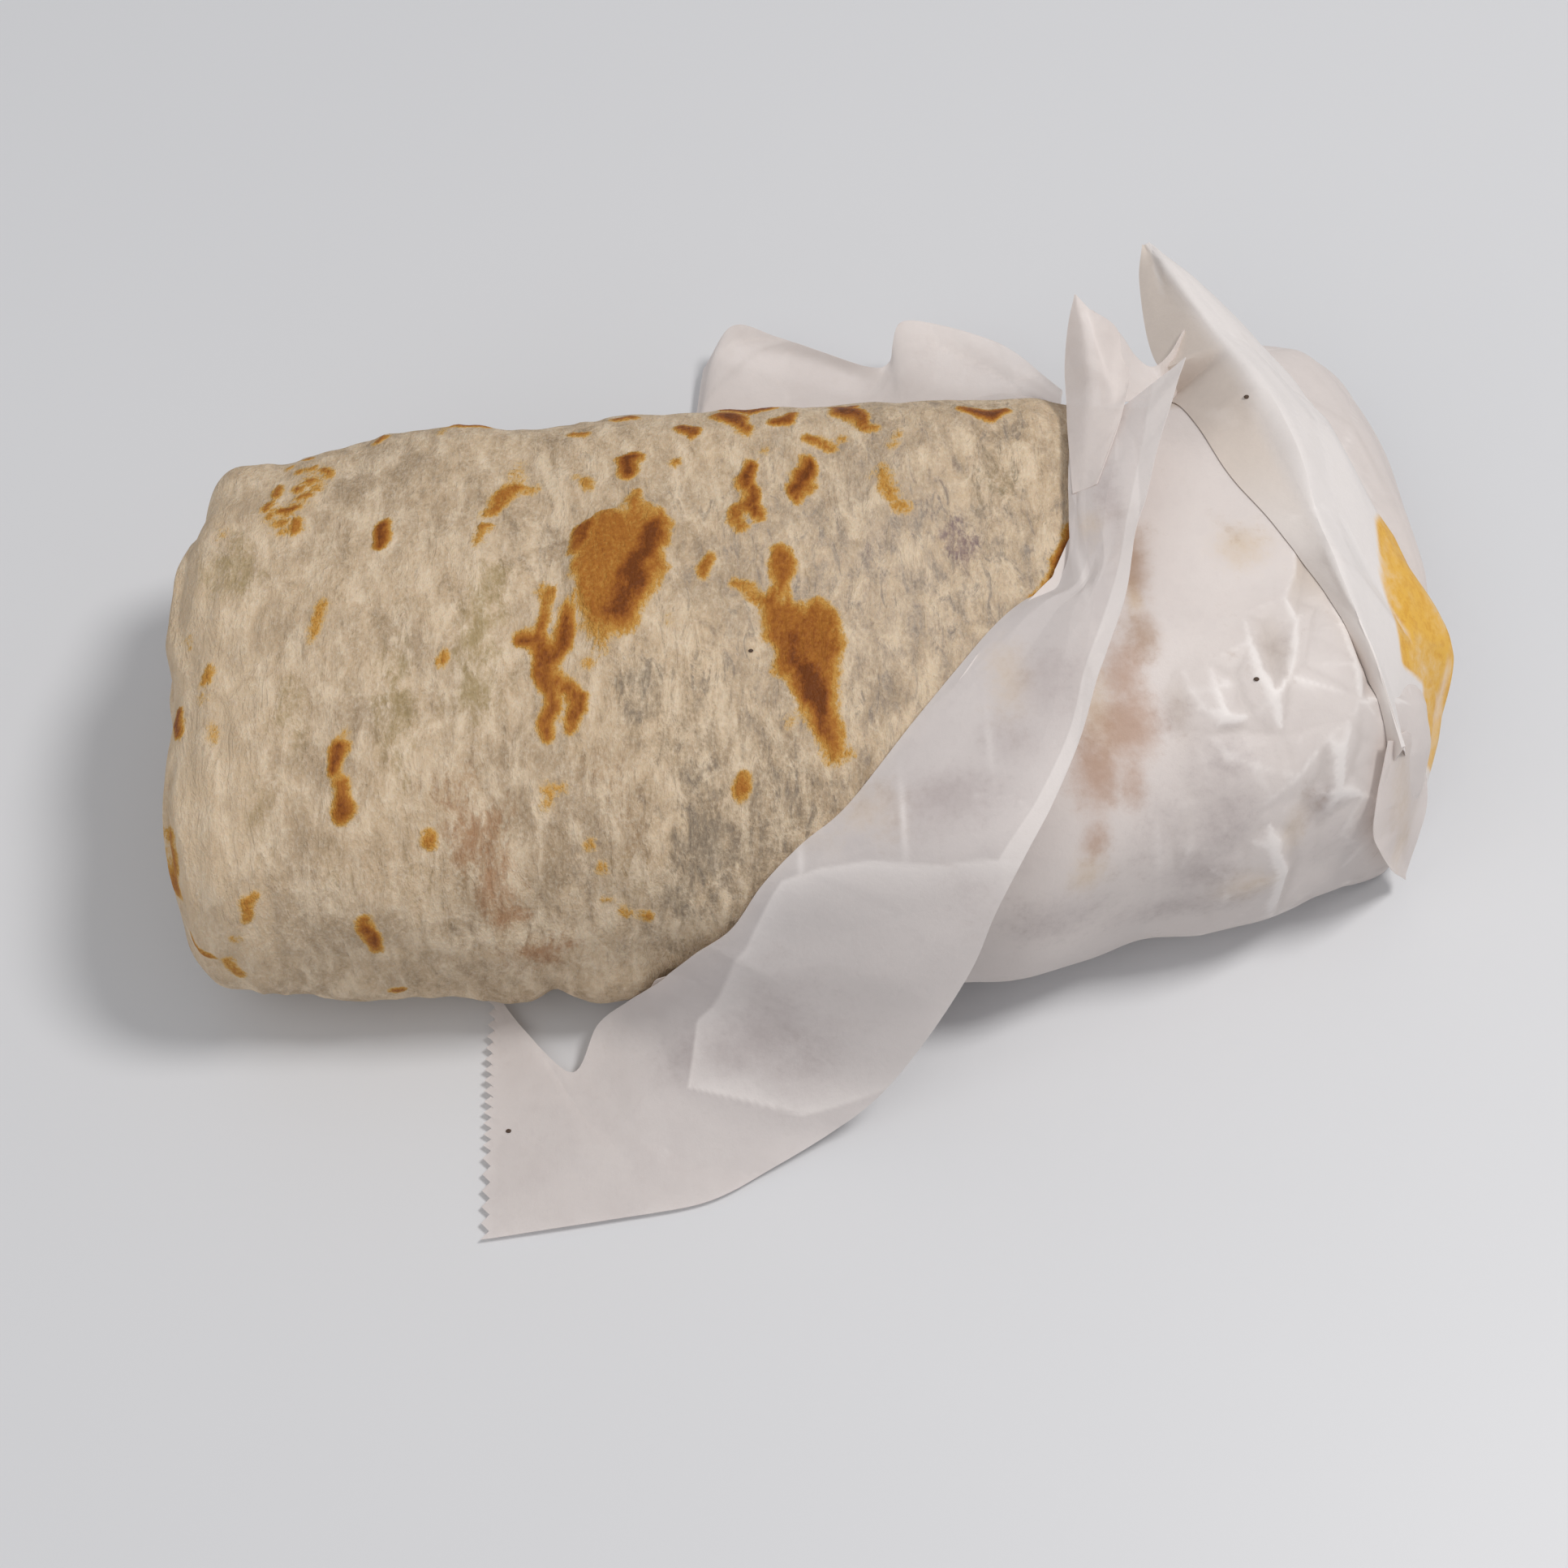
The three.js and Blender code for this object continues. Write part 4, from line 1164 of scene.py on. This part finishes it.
# The gusset between the wing's foot and the sleeve runs down to the low corner.
GUSSET_LEFT = [(93, -26.5, 46), (91.5, -33, 38), (92, -35.5, 31), (97, -34, 18), (103, -29, 4)]
GUSSET_CREASE = [(94.5, -25.5, 44), (96.5, -29, 33), (98, -30, 26), (100, -29.5, 16), (103, -28.6, 4)]
GUSSET_RIGHT = [(96, -23.5, 43), (101, -20.5, 32), (104, -22, 19), (104, -25, 13), (103.2, -28, 4)]
GUSSET_END = [(97.5, -22, 41), (102.6, -18, 29), (106, -20, 16), (105, -24, 10), (103.4, -27.6, 4)]
gusset = loose_sheet(
    "paper_gusset",
    [GUSSET_LEFT, GUSSET_CREASE, GUSSET_RIGHT, GUSSET_END],
    spacing=0.6,
    ease=1,
    facet=6,
    depth=0.15,
    seed=63,
    # its beige patch is painted shade
    butter=[(99, -28, 4, 6, 0.4)],
)
dress(gusset, "paper_of_the_gusset", solid=0.62, stains=("butter",))


# ---------------------------------------------------------------------------------------------
# The rear layer. A softer layer of the same sheet hangs behind the wing and down to the table.

REAR_TOP = [(74, 60, 38), (84, 53, 38), (92, 42, 38), (98, 28, 36), (103, 12, 32), (106, 0, 26)]
REAR_SHOULDER = [(88, 65, 27), (96, 63, 29), (103, 50, 28), (107, 34, 27), (110, 16, 26), (109, 3, 23)]
REAR_OUTER = [(92, 67, 22), (104, 66, 18), (110.5, 54, 15), (112.5, 35, 14), (112.5, 18, 14), (110, 4, 15)]
REAR_FOOT = [(86, 60, 0.6), (98, 59, 0.5), (105, 48, 0.5), (108, 32, 0.5), (108, 16, 0.5), (105, 2, 0.5)]
rear_rails = [REAR_TOP, REAR_SHOULDER, REAR_OUTER, REAR_FOOT]
rear = loose_sheet("paper_rear_layer", rear_rails, spacing=1.0, ease=5, facet=13, depth=1.2, seed=71)
# Painted light: its paper is less dull and so whiter, as this layer is brightly lit.
dress(rear, "paper_of_the_rear_layer", solid=0.66, dullness=0.3)


# ---------------------------------------------------------------------------------------------
# The bottom ply and the curled flaps. The sheet's first ply lies flat under the roll, comes out
# behind it and curls up in two flaps.

UNDER_NEAR = [(-46, -33, 0.15), (-20, -34, 0.15), (10, -34, 0.15), (40, -34, 0.15), (70, -33, 0.15),
              (94, -24, 0.15)]
UNDER_FAR = [(-36, 8, 0.15), (-24, 36, 0.15), (2, 46, 0.15), (36, 47, 0.15), (68, 44, 0.15), (92, 30, 0.15)]
points, across, lengthways = stretched([UNDER_NEAR, UNDER_FAR], spacing=2.0, ease=0)
bottom, column, row = lay_paper("paper_bottom_ply", points)
finish_paper(bottom, {"crease": np.zeros(len(column))})
dress(bottom, "paper_under_the_roll", solid=0.62)

FLAP_ROOT = [(-16, 36, 0.35), (-8, 38, 0.35), (2, 40, 0.35), (13, 41, 0.35), (22, 42, 0.35), (27, 42, 0.35),
             (33, 42, 0.35), (42, 42, 0.4), (50, 42, 0.8), (58, 42, 2)]
FLAP_FLOOR = [(-13, 54, 0.5), (-9, 55, 0.6), (1, 56, 0.8), (12, 57, 1), (21, 57, 1.4), (26, 57, 2),
              (32, 57, 3), (41, 57, 5), (50, 55, 9), (57, 53, 14)]
FLAP_BEND = [(-11, 73, 2), (-8, 76, 3.4), (1, 75, 4), (12, 73, 4.4), (20, 71, 5), (25, 71, 6),
             (30, 72, 8), (40, 71, 11.5), (48, 67, 15), (54, 61, 18)]
FLAP_FOLD = [(-9.5, 83, 3), (-5.5, 87, 7), (2, 86.5, 6.5), (11.5, 83.5, 6.4), (20, 79, 6.6), (25, 77, 8),
             (29, 79.5, 12), (40, 77.5, 13.4), (48, 72, 16), (54, 62.5, 19.5)]
FLAP_EDGE = [(-9, 86, 3), (-3, 90, 10), (5, 87.5, 9.4), (13, 84, 9), (21.5, 80, 8.6), (25, 80.5, 9.5),
             (27.5, 85, 15), (37, 83.5, 14.5), (48, 77, 14.2), (54, 64, 20)]
flaps = loose_sheet(
    "paper_curled_flaps",
    [FLAP_ROOT, FLAP_FLOOR, FLAP_BEND, FLAP_FOLD, FLAP_EDGE],
    spacing=0.9,
    ease=4,
    facet=11,
    depth=0.8,
    seed=81,
    floor=0.35,
)
dress(flaps, "paper_of_the_flaps", solid=0.52)

# A small lobe of the same sheet stands up beside the flaps, against the roll's back.
LOBE_ROOT = [(30, 46, 17), (36, 47, 22), (42, 47, 24), (48, 46, 27), (53, 44, 30)]
LOBE_CREST = [(30, 51, 17), (37, 53, 25), (43, 53, 28), (49, 52, 31), (54.5, 48, 33)]
LOBE_OUTER = [(33, 61, 14), (40, 62, 19), (46, 62, 21), (52, 59, 22), (57, 53, 24)]
LOBE_FOOT = [(34, 68, 10), (41, 69, 12.5), (47, 67, 15.5), (53, 61, 18.5), (58, 52, 19)]
lobe_rails = [LOBE_ROOT, LOBE_CREST, LOBE_OUTER, LOBE_FOOT]
lobe = loose_sheet("paper_lobe_behind", lobe_rails, spacing=0.8, ease=8, facet=8, depth=0.25, seed=82)
dress(lobe, "paper_of_the_lobe", solid=0.5)


# ---------------------------------------------------------------------------------------------
# Flakes of pepper. A few dark flakes smaller than a millimetre stick to the paper and the roll.

FLAKES = [
    (cuff, -47, -64, 0.35), (cuff, -16, -45.5, 0.35), (sleeve, 71.9, -20.3, 0.35), (wing, 77.4, 31.5, 0.38),
    (tortilla, -4.7, -10.8, 0.3),
]
pepper = Material("pepper", Roughness=0.7)
speckle = pepper.mix(pepper.noise(0.0004), (0.10, 0.055, 0.03), (0.035, 0.02, 0.014))
for sheet, flake_x, flake_y, radius in FLAKES:
    place = laid_on(sheet, [(flake_x, flake_y, 0)], gap=0.1)[0]
    bpy.ops.object.select_all(action="DESELECT")
    bpy.ops.mesh.primitive_uv_sphere_add(segments=12, ring_count=8, radius=radius * MM)
    flake = bpy.context.object
    flake.name = "pepper_flake"
    move_points(flake.data, mesh_points(flake.data) * (1.3, 1.0, 0.5) + np.array(place) * MM)
    pepper.finish(flake, Base_Color=speckle)
    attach(flake, "root")
    on_the_roll = sheet is tortilla
    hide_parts("tortilla_roll" if on_the_roll else "paper_wrap")
